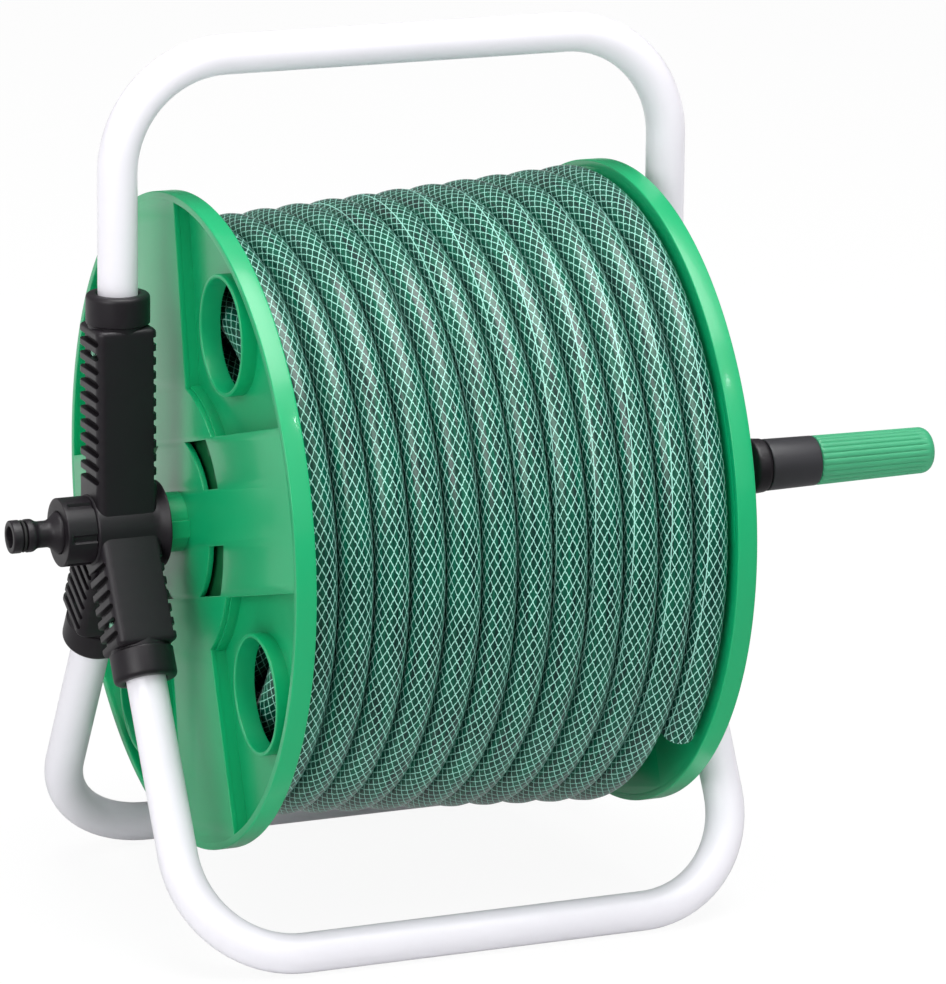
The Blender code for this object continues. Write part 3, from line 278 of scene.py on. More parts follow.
class Surface:
    """Gathers closed shells and makes one smooth mesh of them."""

    def __init__(self) -> None:
        """Starts with no shell."""
        self.points: list[Array] = []
        self.quads: list[Array] = [np.empty((0, 4), int)]
        self.triangles: list[Array] = [np.empty((0, 3), int)]
        self.quad_places: list[Array] = []
        self.triangle_places: list[Array] = []
        self.count = 0

    def add(self, grid: Array, places: Array | None = None) -> "Surface":
        """Adds one closed shell given as a grid of points.

        Points that repeat, at seams and poles, are welded, and the faces are made to point outwards.

        Args:
            grid: rows and columns of points.
            places: rows and columns of texture places, or None.

        Returns:
            The surface itself.
        """
        rows, columns = grid.shape[:2]
        index = np.arange(rows * columns).reshape(rows, columns)
        quads = np.stack([index[:-1, :-1], index[:-1, 1:], index[1:, 1:], index[1:, :-1]], axis=-1)
        flat = grid.reshape(-1, 3)
        quads = outward(flat, quads.reshape(-1, 4))
        place = np.zeros((rows * columns, 2)) if places is None else places.reshape(-1, 2)
        return self.weld(flat, quads, place[quads])

    def weld(self, points: Array, faces: Array, places: Array) -> "Surface":
        """Joins points that coincide to 0.1 micrometre, and makes triangles of quads that lose a corner.

        Args:
            points: the shell's points.
            faces: three or four corners a face.
            places: a texture place for each corner.

        Returns:
            The surface itself.
        """
        keys = np.round(points * STEPS_PER_METRE).astype(np.int64)
        _, first, index = np.unique(keys, axis=0, return_index=True, return_inverse=True)
        faces = index.reshape(-1)[faces]
        same = faces == np.roll(faces, -1, axis=1)
        lost = same.sum(axis=1)
        whole = lost == 0
        if faces.shape[1] == 4:
            thin = lost == 1
            keep = ~same[thin]
            self.quads.append(faces[whole] + self.count)
            self.quad_places.append(places[whole])
            self.triangles.append(faces[thin][keep].reshape(-1, 3) + self.count)
            self.triangle_places.append(places[thin][keep].reshape(-1, 3, 2))
        else:
            self.triangles.append(faces[whole] + self.count)
            self.triangle_places.append(places[whole])
        self.points.append(points[first])
        self.count += len(first)
        return self

    def piece(self, name: str, sharp: float = 38.0) -> Object:
        """Makes the mesh and its object.

        Args:
            name: the piece's name.
            sharp: the angle in degrees past which an edge is shaded sharp.

        Returns:
            The object, linked to the scene.
        """
        points = np.concatenate(self.points).astype(np.float32)
        quads, triangles = np.concatenate(self.quads), np.concatenate(self.triangles)
        loops = np.concatenate([quads.ravel(), triangles.ravel()]).astype(np.int32)
        starts = np.concatenate([np.arange(len(quads)) * 4, len(quads) * 4 + np.arange(len(triangles)) * 3])
        mesh = bpy.data.meshes.new(name)
        mesh.vertices.add(len(points))
        mesh.vertices.foreach_set("co", points.ravel())
        mesh.loops.add(len(loops))
        mesh.loops.foreach_set("vertex_index", loops)
        mesh.polygons.add(len(starts))
        mesh.polygons.foreach_set("loop_start", starts.astype(np.int32))
        parts = [p.reshape(-1, 2) for p in self.quad_places + self.triangle_places]
        places = np.concatenate(parts).astype(np.float32)
        if np.ptp(places) > 0:
            mesh.uv_layers.new(name="places").data.foreach_set("uv", places.ravel())
        mesh.update(calc_edges=True)
        mesh.polygons.foreach_set("use_smooth", np.ones(len(starts), bool))
        mesh.set_sharp_from_angle(angle=math.radians(sharp))
        return linked(bpy.data.objects.new(name, mesh))


def linked(obj: Object) -> Object:
    """Puts an object in the scene."""
    bpy.context.scene.collection.objects.link(obj)
    return obj


def flat_shape(outlines: list[Array], depth: float, edge: float) -> tuple[Array, Array]:
    """A flat plate with holes, from outlines that nest, with rounded edges.

    Args:
        outlines: closed outlines as rows of (y, z); one inside another is a hole.
        depth: the plate's thickness.
        edge: the edge's rounding.

    Returns:
        The points as (depth from 0 to the thickness, y, z) and the triangles.
    """
    curve = bpy.data.curves.new("plate", "CURVE")
    curve.dimensions, curve.fill_mode = "2D", "BOTH"
    curve.extrude = depth / 2 - edge
    curve.bevel_depth, curve.bevel_resolution, curve.offset = edge, 2, -edge
    for outline in outlines:
        spline = curve.splines.new("POLY")
        spline.points.add(len(outline) - 1)
        spline.points.foreach_set("co", np.pad(outline, ((0, 0), (0, 2))).ravel())
        spline.use_cyclic_u = True
    holder = linked(bpy.data.objects.new("plate", curve))
    bpy.context.view_layer.update()
    mesh = holder.evaluated_get(bpy.context.evaluated_depsgraph_get()).to_mesh()
    mesh.calc_loop_triangles()
    points = np.empty(len(mesh.vertices) * 3)
    mesh.vertices.foreach_get("co", points)
    triangles = np.empty(len(mesh.loop_triangles) * 3, np.int32)
    mesh.loop_triangles.foreach_get("vertices", triangles)
    bpy.data.objects.remove(holder)
    bpy.data.curves.remove(curve)
    points = points.reshape(-1, 3)
    return np.column_stack([points[:, 2] + depth / 2, points[:, 0], points[:, 1]]), triangles.reshape(-1, 3)


# ---------------------------------------------------------------- finishes

COLOUR, NUMBER, VECTOR = "NodeSocketColor", "NodeSocketFloat", "NodeSocketVector"
DRIFT_DETAIL, GRAIN_DETAIL, ROUGHNESS_SWING = 3.0, 2.0, 0.18
WANDER, WANDER_SCALE, THREAD_RISE = 0.22, 90.0, 2.2


def light(colour: Rgb) -> tuple[float, float, float, float]:
    """A screen colour from 0 to 255 as linear light, by the sRGB curve ((c + 0.055) / 1.055) ^ 2.4."""
    c = np.array(colour) / 255
    linear = np.where(c <= 0.04045, c / 12.92, ((c + 0.055) / 1.055) ** 2.4)
    return (*map(float, linear), 1.0)


def new_group(
    name: str, inputs: dict[str, str], outputs: dict[str, str]
) -> tuple[Tree, bpy.types.NodeOutputs, bpy.types.NodeInputs]:
    """An empty shader node group with named sockets.

    Args:
        name: the group's name.
        inputs: socket types by name.
        outputs: socket types by name.

    Returns:
        The group, what it is given and what it gives out, as sockets by name.
    """
    group = bpy.data.node_groups.new(name, "ShaderNodeTree")
    for way, sockets in (("INPUT", inputs), ("OUTPUT", outputs)):
        for label, kind in sockets.items():
            group.interface.new_socket(label, in_out=way, socket_type=kind)
    return group, group.nodes.new("NodeGroupInput").outputs, group.nodes.new("NodeGroupOutput").inputs


def new_material(name: str, colour: Rgb) -> tuple[Material, Tree, Node]:
    """A material with its Principled shader.

    Args:
        name: the material's name.
        colour: its colour where nothing is shaded.

    Returns:
        The material, its tree and its shader node.
    """
    made = bpy.data.materials.new(name)
    made.use_nodes = True
    made.diffuse_color = light(colour)
    return made, made.node_tree, made.node_tree.nodes["Principled BSDF"]


def settings(node: Node, values: dict[str, object]) -> None:
    """Sets a node's sockets to constant values, by name."""
    for label, value in values.items():
        node.inputs[label].default_value = value


def feed(tree: Tree, socket: Socket, value: object) -> None:
    """Links a socket to another, or sets it to a constant."""
    if isinstance(value, Socket):
        tree.links.new(value, socket)
    else:
        socket.default_value = value


def maths(tree: Tree, operation: str, first: object, second: object = 0.0) -> Socket:
    """A Math node.

    Args:
        tree: the node tree.
        operation: the Math node's operation.
        first: the first operand, a socket or a number.
        second: the second operand.

    Returns:
        The node's output socket.
    """
    node = tree.nodes.new("ShaderNodeMath")
    node.operation = operation
    feed(tree, node.inputs[0], first)
    feed(tree, node.inputs[1], second)
    return node.outputs[0]


def between(tree: Tree, value: Socket, low: float, high: float) -> Socket:
    """A value kept between two numbers."""
    return maths(tree, "MINIMUM", maths(tree, "MAXIMUM", value, low), high)


def noise(tree: Tree, vector: Socket, scale: object, detail: float) -> Socket:
    """A Noise node's value, from 0 to 1.

    Args:
        tree: the node tree.
        vector: the coordinates it reads.
        scale: its scale, as a number or a socket.
        detail: its detail.

    Returns:
        The value's socket.
    """
    node = tree.nodes.new("ShaderNodeTexNoise")
    node.inputs["Detail"].default_value = detail
    feed(tree, node.inputs["Vector"], vector)
    feed(tree, node.inputs["Scale"], scale)
    return node.outputs["Fac"]


def blend_colours(tree: Tree, share: object, first: object, second: object) -> Socket:
    """A colour Mix node.

    Args:
        tree: the node tree.
        share: how much of the second colour there is.
        first: the first colour or its socket.
        second: the second colour or its socket.

    Returns:
        The mixed colour's socket.
    """
    node = tree.nodes.new("ShaderNodeMix")
    node.data_type = "RGBA"
    for place, value in ((0, share), (6, first), (7, second)):
        feed(tree, node.inputs[place], value)
    return node.outputs[2]


def mixed_shader(tree: Tree, share: Socket, first: Socket, second: Socket) -> Socket:
    """A Mix Shader node's output, from the share of the second shader."""
    node = tree.nodes.new("ShaderNodeMixShader")
    for place, value in enumerate((share, first, second)):
        feed(tree, node.inputs[place], value)
    return node.outputs[0]


def bumped(tree: Tree, shader: Node, height: Socket, strength: float, distance: float) -> None:
    """Gives a shader a Bump node that reads a height."""
    bump = tree.nodes.new("ShaderNodeBump")
    settings(bump, {"Strength": strength, "Distance": distance})
    feed(tree, bump.inputs["Height"], height)
    feed(tree, shader.inputs["Normal"], bump.outputs["Normal"])


@cache
def moulded_skin() -> Tree:
    """The shared skin of moulded and painted surfaces: a slow drift between two colours, and a fine grain.

    Returns:
        The group, made the first time it is asked for.
    """
    scales = dict.fromkeys(("Drift Scale", "Grain Scale", "Roughness"), NUMBER)
    inputs = {"Place": VECTOR, "Colour": COLOUR, "Shade": COLOUR, **scales}
    outputs = {"Colour": COLOUR, "Roughness": NUMBER, "Height": NUMBER}
    group, given, out = new_group("moulded_skin", inputs, outputs)
    drift = noise(group, given["Place"], given["Drift Scale"], DRIFT_DETAIL)
    grain = noise(group, given["Place"], given["Grain Scale"], GRAIN_DETAIL)
    feed(group, out["Colour"], blend_colours(group, drift, given["Colour"], given["Shade"]))
    swing = maths(group, "MULTIPLY", maths(group, "SUBTRACT", drift, 0.5), ROUGHNESS_SWING)
    feed(group, out["Roughness"], maths(group, "ADD", given["Roughness"], swing))
    feed(group, out["Height"], grain)
    return group


@cache
def braided_net() -> Tree:
    """The hose's net: two sets of threads that wind round it in opposite directions.

    With a = N u + v / H and b = N u - v / H, a thread runs where a or b is near a whole number, and its
    edge falls off over nearly half its width. A noise moves both a little. One more thread runs
    lengthwise, where u + v / L is near a whole number.

    Returns:
        The group, made the first time it is asked for.
    """
    sizes = dict.fromkeys(("Threads", "Cell", "Width", "Line Pitch", "Line Width"), NUMBER)
    outputs = dict.fromkeys(("Thread", "Crossing"), NUMBER)
    group, given, out = new_group("braided_net", {"Place": VECTOR, **sizes}, outputs)
    m = partial(maths, group)
    split = group.nodes.new("ShaderNodeSeparateXYZ")
    feed(group, split.inputs[0], given["Place"])
    u, v = split.outputs[0], split.outputs[1]
    round_it = m("MULTIPLY", u, given["Threads"])
    along = m("DIVIDE", v, given["Cell"])
    wander = m("SUBTRACT", noise(group, given["Place"], WANDER_SCALE, 1.0), 0.5)
    wander = m("MULTIPLY", wander, WANDER)
    masks = []
    for operation in ("ADD", "SUBTRACT"):
        turn = m("ADD", m(operation, round_it, along), wander)
        away = m("ABSOLUTE", m("SUBTRACT", m("FRACT", turn), 0.5))
        inside = m("SUBTRACT", away, m("SUBTRACT", 0.5, given["Width"]))
        risen = m("MULTIPLY", m("DIVIDE", inside, given["Width"]), THREAD_RISE)
        masks.append(between(group, risen, 0.0, 1.0))
    lengthwise = m("ADD", u, m("DIVIDE", v, given["Line Pitch"]))
    off_line = m("SUBTRACT", 0.5, m("ABSOLUTE", m("SUBTRACT", m("FRACT", lengthwise), 0.5)))
    near_line = m("SUBTRACT", 2.0, m("DIVIDE", off_line, m("MULTIPLY", given["Line Width"], 0.5)))
    feed(group, out["Thread"], m("MAXIMUM", m("MAXIMUM", *masks), between(group, near_line, 0.0, 1.0)))
    feed(group, out["Crossing"], m("MULTIPLY", *masks))
    return group


@dataclass(frozen=True)
class Skin:
    """A moulded, painted, rubber or plated finish, from the shared skin group."""

    name: str
    colour: Rgb
    shade: Rgb
    roughness: float
    drift: float
    grain: float
    bump: float
    metal: float = 0.0
    coat: float = 0.0
    specular: float = 0.5
    coat_roughness: float = 0.12
    relief: float = 0.001

    @cache
    def material(self) -> Material:
        """The finish's material, made the first time it is asked for."""
        made, tree, shader = new_material(self.name, self.colour)
        own = {"Metallic": self.metal, "Coat Weight": self.coat, "Specular IOR Level": self.specular}
        settings(shader, {**own, "Coat Roughness": self.coat_roughness})
        skin = tree.nodes.new("ShaderNodeGroup")
        skin.node_tree = moulded_skin()
        scales = {"Drift Scale": self.drift, "Grain Scale": self.grain, "Roughness": self.roughness}
        settings(skin, {"Colour": light(self.colour), "Shade": light(self.shade), **scales})
        feed(tree, skin.inputs["Place"], tree.nodes.new("ShaderNodeTexCoord").outputs["Object"])
        feed(tree, shader.inputs["Base Color"], skin.outputs["Colour"])
        feed(tree, shader.inputs["Roughness"], skin.outputs["Roughness"])
        bumped(tree, shader, skin.outputs["Height"], self.bump, self.relief)
        return made


@dataclass(frozen=True)
class NetHose:
    """The hose's clear green wall over a pale braided net."""

    name: str = "net_hose"
    wall: Rgb = (0, 40, 34)
    wall_lit: Rgb = (0, 86, 64)
    thread: Rgb = (158, 219, 203)
    threads: float = 14.0
    cell: float = 0.0073
    width: float = 0.078
    line_pitch: float = 0.985
    line_width: float = 0.006
    coat: float = 0.35
    coat_roughness: float = 0.2
    specular: float = 0.3
    cloud_scale: float = 24.0
    cloud_start: float = 0.36
    cloud_gain: float = 3.2
    thread_share: tuple[float, float] = (0.6, 0.5)
    roughness: tuple[float, float] = (0.28, 0.2)
    bump: float = 0.25
    relief: float = 0.0003

    @cache
    def material(self) -> Material:
        """The hose's material, from the net group and the piece's own texture places, made once.

        With c a cloud and t the net's threads, the wall's second colour has the share (c - start) gain,
        the thread's colour the share t (a + b c), and the roughness is a + b t with its own a and b.
        """
        made, tree, shader = new_material(self.name, self.wall)
        coat = {"Coat Weight": self.coat, "Coat Roughness": self.coat_roughness}
        settings(shader, {**coat, "Specular IOR Level": self.specular})
        places = tree.nodes.new("ShaderNodeUVMap")
        places.uv_map = "places"
        net = tree.nodes.new("ShaderNodeGroup")
        net.node_tree = braided_net()
        settings(net, {"Threads": self.threads, "Cell": self.cell, "Width": self.width})
        settings(net, {"Line Pitch": self.line_pitch, "Line Width": self.line_width})
        feed(tree, net.inputs["Place"], places.outputs["UV"])
        thread, crossing = net.outputs["Thread"], net.outputs["Crossing"]
        m = partial(maths, tree)
        (least, more), (smooth, rougher) = self.thread_share, self.roughness
        cloud = noise(tree, places.outputs["UV"], self.cloud_scale, DRIFT_DETAIL)
        patch = m("MULTIPLY", m("SUBTRACT", cloud, self.cloud_start), self.cloud_gain)
        wall = blend_colours(tree, patch, light(self.wall), light(self.wall_lit))
        strength = m("MULTIPLY", thread, m("ADD", m("MULTIPLY", cloud, more), least))
        feed(tree, shader.inputs["Base Color"], blend_colours(tree, strength, wall, light(self.thread)))
        feed(tree, shader.inputs["Roughness"], m("ADD", m("MULTIPLY", thread, rougher), smooth))
        bumped(tree, shader, m("ADD", thread, crossing), self.bump, self.relief)
        return made


FINISHES: dict[Slot, Skin | NetHose] = {
    Slot.WHITE_PAINT: Skin("painted_tube", (224, 222, 228), (219, 217, 224), 0.36, 18, 700, 0.03, coat=0.2),
    Slot.BLACK_PLASTIC: Skin("moulded_black", (29, 25, 30), (24, 20, 25), 0.42, 40, 2200, 0.1, specular=0.38),
    Slot.GREEN_PLASTIC: Skin("moulded_green", (4, 159, 101), (1, 151, 94), 0.34, 14, 1800, 0.05, coat=0.2),
    Slot.GRIP_GREEN: Skin("moulded_grip", (58, 156, 112), (51, 149, 105), 0.46, 60, 2200, 0.08),
    Slot.GREY_PLASTIC: Skin("moulded_grey", (52, 51, 55), (46, 45, 49), 0.38, 60, 2200, 0.06, specular=0.4),
    Slot.HOSE_GREEN: NetHose(),
    Slot.RUBBER: Skin("soft_rubber", (26, 26, 27), (20, 20, 21), 0.7, 90, 2600, 0.2),
    Slot.ZINC: Skin("bright_zinc", (196, 198, 200), (176, 178, 182), 0.32, 120, 900, 0.05, metal=1.0),
    Slot.BEARING_PLASTIC: Skin("bearing_moulding", (226, 224, 214), (216, 213, 202), 0.4, 60, 2000, 0.04),
}
PALE_SCREW = Skin("pale_screw", (150, 205, 180), (120, 180, 150), 0.35, 300, 900, 0.05, metal=0.2)
# Painted shade: the end discs and the barrel inside the drum get a darker green than the flanges, for the
# shade inside the drum.
PAINTED_SHADE_GREEN = Skin("painted_shade_green", (0, 98, 52), (0, 84, 44), 0.5, 14, 1800, 0.05)
PAINTED_SHADE_NODES = ("left_end_disc", "right_end_disc", "barrel")


def dress(piece: Object, body: Body, slot: Slot, node: str, finish: Skin | None = None) -> None:
    """Gives a new piece the finish of its slot or the one given, puts it on its body and hides the node it
    replaces.

    Args:
        piece: the piece.
        body: what it rides on.
        slot: the record's slot.
        node: the model's node that it replaces.
        finish: what it is made of, where the slot's own finish isn't meant.
    """
    piece.data.materials.append((finish or FINISHES[slot]).material())
    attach(piece, body.value)
    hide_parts(node)
    log.info("%s: %d faces on %s", piece.name, len(piece.data.polygons), body.value)


# ---------------------------------------------------------------- the frame


@dataclass
class FrameTubes:
    """The handle and the two legs: white tubes bent into a U, each with its ends in the two hubs."""

    rise: float = 0.235
    leg: float = 0.2245
    bend: float = 0.056
    start: float = 0.0385
    sides: int = 48
    bend_steps: int = 20
    straight_steps: int = 12

    def route(self, far: float) -> Array:
        """A U in a plane: out along one arm, round two quarter bends and back along the other.

        Args:
            far: how far the cross bar's middle line lies from the axle.

        Returns:
            Rows of (distance from the middle along X, distance from the axle).
        """
        n = self.straight_steps
        t = np.linspace(0, QUARTER, self.bend_steps + 1)
        across, onward = self.bend * (1 - np.cos(t)), self.bend * (1 - np.sin(t))
        first = np.stack([-HUB_OFFSET + across, far - onward], axis=1)
        away = np.linspace(self.start, far - self.bend, n + 1)[:-1]
        out = np.stack([np.full(n, -HUB_OFFSET), away], axis=1)
        half = np.concatenate([out, first])
        other = half[::-1] * (-1, 1)
        bar = np.stack([np.linspace(half[-1, 0], other[0, 0], n + 2)[1:-1], np.full(n, far)], axis=1)
        return np.concatenate([half, bar, other])

    def build(self) -> None:
        """Makes the three tubes and dresses them."""
        for name, way, far in (
            ("handle", UPWARD, self.rise),
            ("front_leg", TO_FRONT, self.leg),
            ("rear_leg", TO_REAR, self.leg),
        ):
            route = self.route(far)
            path = AXLE + route[:, :1] * ALONG_X + route[:, 1:] * way
            tube = capped(swept(path, TUBE_RADIUS, np.cross(ALONG_X, way), self.sides))
            dress(Surface().add(tube).piece(f"{name}_bow"), Body.FRAME, Slot.WHITE_PAINT, f"{name}_tube")


@dataclass
class Hub:
    """A black hub: three slotted arms with collars for the tubes, round a bearing boss."""

    end: End
    width: float = 0.031
    depth: float = 0.030
    edge: float = 0.0030
    least_edge: float = 0.0005
    tighten: float = 1.2
    top_edge: float = 0.8
    collar_radius: float = 0.016
    collar_length: float = 0.016
    slot_pitch: float = 0.007
    slot_width: float = 0.0036
    slot_depth: float = 0.0034
    slot_margin: float = 0.0022
    first_slot: float = 0.0064
    last_slot: float = 0.004
    notch_depth: float = 0.0020
    front_edge: float = 0.0045
    lip: float = 0.0003
    rear_trim: float = 0.00012
    boss_radius: float = 0.018
    flare_radius: float = 0.0225
    boss_reach: float = 0.0208
    stub_radius: float = 0.0131
    stub_length: float = 0.0086
    handle_arm: tuple[float, int] = (0.1195, 11)
    leg_arm: tuple[float, int] = (0.0795, 6)

    def arm_rows(self, length: float, slots: int) -> tuple[Array, Array, Array]:
        """The rows along an arm: the station, how deep the slot is there, and where its rounded end lies.

        A slot's end lies at half a width less the root of half a width squared less the distance from
        its middle squared, so that it is a half circle.

        Args:
            length: the arm's length up to its collar.
            slots: how many slots it has.

        Returns:
            The three values for each row.
        """
        half = self.slot_width / 2
        middles = length - self.first_slot - self.slot_pitch * np.arange(slots)[::-1]
        steps = np.array([-1, -1, -0.94, -0.75, -0.42, 0, 0.42, 0.75, 0.94, 1, 1]) * half
        steps = np.concatenate([[-half - self.lip], steps, [half + self.lip]])
        deep = np.concatenate([[0, self.lip], np.full(9, self.slot_depth), [self.lip, 0]])
        ends = half - np.sqrt(np.maximum(half**2 - steps**2, 0))
        stations = (middles[:, None] + steps[None, :]).ravel()
        top = length - self.edge * self.top_edge * (1 - np.sin(np.linspace(0, QUARTER, 6)))
        stations = np.concatenate([[0.0, stations[0] - self.last_slot], stations, top])
        deep = np.concatenate([np.zeros(2), np.tile(deep, slots), np.zeros(6)])
        ends = np.concatenate([np.full(2, half), np.tile(ends, slots), np.full(6, half)])
        return stations, deep, ends

    def front(self, x: float, angle: Array, sunk: Array) -> Array:
        """The front outer rounding: (x - max(sunk, e (1 - sin)), e (1 - cos) - w), with e its radius.

        Args:
            x: half the arm's width.
            angle: the angle of each point.
            sunk: how far a point is sunk at least.

        Returns:
            Rows of (x, w).
        """
        drop = np.maximum(sunk, self.front_edge * (1 - np.sin(angle)))
        rise = self.front_edge * (1 - np.cos(angle)) - self.depth / 2
        return np.stack(np.broadcast_arrays(x - drop, rise), axis=-1)

    @staticmethod
    def corner(centre_x: Array, centre_w: Array, radius: Array, begin: float) -> Array:
        """A quarter circle of (x, w): the centre plus the radius times (sin a, -cos a), from an angle on."""
        angle = begin + np.linspace(0, QUARTER, 6)[None, :]
        return np.stack([centre_x + radius * np.sin(angle), centre_w - radius * np.cos(angle)], axis=-1)

    def arm(self, length: float, slots: int, trim: float) -> Array:
        """An arm in its own frame, with the outer face at positive x and the slots open to positive w.

        Each row is one closed section: the outer front corner, the outer face, the slot's wall and floor,
        the rear corner, the inner face, which is grooved right across, and the inner front corner.

        Args:
            length: the arm's length up to its collar.
            slots: how many slots it has.
            trim: how much narrower it is, so that two arms' faces don't lie in one plane.

        Returns:
            The grid of (x, w, station).
        """
        station, deep, ends = self.arm_rows(length, slots)
        deep, ends = deep[:, None], ends[:, None]
        x, w = self.width / 2 - trim, self.depth / 2
        notch = deep * self.notch_depth / self.slot_depth
        tight = np.maximum(self.edge - deep * self.tighten, self.least_edge)
        soft = np.maximum(self.edge - notch * self.tighten, self.least_edge)
        start = self.slot_margin + ends
        lip = np.minimum(deep, self.lip)
        share = np.linspace(0, 1, 6)[None, :]
        before = np.arccos(1 - (start - lip) / self.front_edge)
        after = np.arccos(1 - start / self.front_edge)
        rim = self.front_edge * (1 - np.sin(after)) + lip
        section = np.concatenate(
            [
                self.front(x, before * share, 0 * deep),
                self.front(x, after, rim),
                self.front(x, after + (QUARTER - after) * share, deep),
                self.corner(x - deep - tight, w - tight, tight, QUARTER),
                self.corner(-(x - notch - soft), w - soft, soft, math.pi),
                self.corner(-(x - notch - soft), -w + soft, soft, 3 * QUARTER),
            ],
            axis=1,
        )
        section = np.concatenate([section, section[:, :1]], axis=1)
        top = self.edge * self.top_edge
        risen = ramp(station - (length - top), top)
        shrink = np.clip(1 - np.sqrt(np.maximum(1 - risen**2, 0)), 0, 1)
        section = section * (1 - shrink[:, None, None] * top / np.array([x, w]))
        return capped(joined(section, station[:, None, None]))

    def collar(self, length: float) -> Array:
        """The round collar at an arm's end, with a rounded rim and a short step down inside to the tube.

        Args:
            length: how far its rim lies from the axle.

        Returns:
            The grid of (x, w, station).
        """
        r, base, mouth = self.collar_radius, length - self.collar_length, TUBE_RADIUS + 0.0006
        profile = np.array(
            [
                (base - 0.003, 0.0),
                (base - 0.003, r - 0.0010),
                (base + 0.0006, r - 0.0010),
                (base + 0.0012, r),
                (length, r),
                (length, mouth),
                (length - 0.004, mouth),
                (length - 0.004, 0.0),
            ]
        )
        profile = soften(profile, np.array([0, 0, 0.0004, 0.0026, 0.0012, 0]), 6)
        return joined(wheel(profile[:, 1], 64), profile[:, :1, None])

    def placed(self, grid: Array, along: Array) -> Array:
        """Puts an arm's grid in the world.

        The outer face turns to the end's own side, and positive w to the rear of the arm.

        Args:
            grid: the grid of (x, w, station).
            along: which way the arm goes.

        Returns:
            The grid in the world.
        """
        rear = np.cross(along, ALONG_X)
        rear = rear if rear[1] > 0 else -rear
        side = self.end.value * ALONG_X
        centre = AXLE + HUB_OFFSET * side
        return centre + grid[..., :1] * side + grid[..., 1:2] * rear + grid[..., 2:] * along

    def boss(self) -> Array:
        """The bearing boss on the axle, flared to the drum, with the threaded stub at the inlet's end."""
        face = HUB_OFFSET + self.width / 2 + 0.001
        waist, inner, r = HUB_OFFSET - self.width / 2, HUB_OFFSET - self.boss_reach, self.boss_radius
        corners = [(inner, 0.0), (inner, self.flare_radius), (waist, r), (face, r), (face, 0.0)]
        cuts = [0.0016, 0.0034, 0.0020]
        if self.end is End.INLET:
            tip = face + self.stub_length - 0.001
            corners[-1:] = [(face, self.stub_radius), (tip, self.stub_radius), (tip, 0.0)]
            cuts += [0.0008, 0.0006]
        profile = soften(np.array(corners), np.array(cuts))
        profile[:, 0] = AXLE[0] + self.end.value * profile[:, 0]
        return turned(profile, 72)

    def build(self) -> None:
        """Makes the hub and dresses it."""
        surface = Surface().add(self.boss())
        for along, (length, slots), trim in (
            (UPWARD, self.handle_arm, 0.0),
            (TO_FRONT, self.leg_arm, 0.0),
            (TO_REAR, self.leg_arm, self.rear_trim),
        ):
            surface.add(self.placed(self.arm(length - self.collar_length, slots, trim), along))
            surface.add(self.placed(self.collar(length), along))
        name = f"{self.end.label}_hub"
        dress(surface.piece(f"{name}_casting", 30.0), Body.FRAME, Slot.BLACK_PLASTIC, name)


@dataclass
class HubScrews:
    """The small cross-head screws that hold the tubes in the hubs."""

    head: float = 0.00185
    dome: float = 0.0009
    cross_half: float = 0.00042
    cross_reach: float = 0.0014
    cross_depth: float = 0.0006
    cross_soft: tuple[float, float] = (0.00012, 0.0002)
    shank: float = 0.0035

    def screw(self, node: str) -> Array:
        """A domed head with a cross cut into it, over the node's own head.

        The height is the dome (1 - (r / R)^2) ^ 1/2 less a cut wherever the point lies near one of two
        lines through the middle.

        Args:
            node: the screw's node.

        Returns:
            The grid in the world.
        """
        low, high = (np.array(corner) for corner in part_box(node))
        side, top = (-1.0, low[0]) if high[0] < AXLE[0] else (1.0, high[0])
        middle = (low + high) / 2
        radius = np.array([1, 1, 0.96, 0.86, 0.72, 0.58, 0.45, 0.32, 0.2, 0.1, 0.0])[:, None] * self.head
        angles = closing_angles(48)[None, :]
        y, z = radius * np.cos(angles), radius * np.sin(angles)
        height = np.sqrt(np.maximum(1 - (radius / self.head) ** 2, 0)) * self.dome + 0 * y
        near = np.minimum(np.abs(y + z), np.abs(y - z)) / math.sqrt(2)
        side_soft, end_soft = self.cross_soft
        cut = ramp(self.cross_half - near, side_soft) * ramp(self.cross_reach - radius, end_soft)
        height = height - self.cross_depth * cut
        height[0] = -self.shank
        x = top - side * self.dome + side * height
        grid = np.stack([x, middle[1] + y, middle[2] + z], axis=-1)
        base = np.broadcast_to(np.array([x[0, 0], middle[1], middle[2]]), grid[:1].shape)
        return np.concatenate([base, grid])

    def build(self) -> None:
        """Makes the six screws and dresses them."""
        for end in End:
            for arm in ("handle", "front", "rear"):
                node = f"{end.label}_{arm}_screw"
                piece = Surface().add(self.screw(node)).piece(f"{node}_head")
                dress(piece, Body.FRAME, Slot.ZINC, node, PALE_SCREW)


# ---------------------------------------------------------------- the water inlet


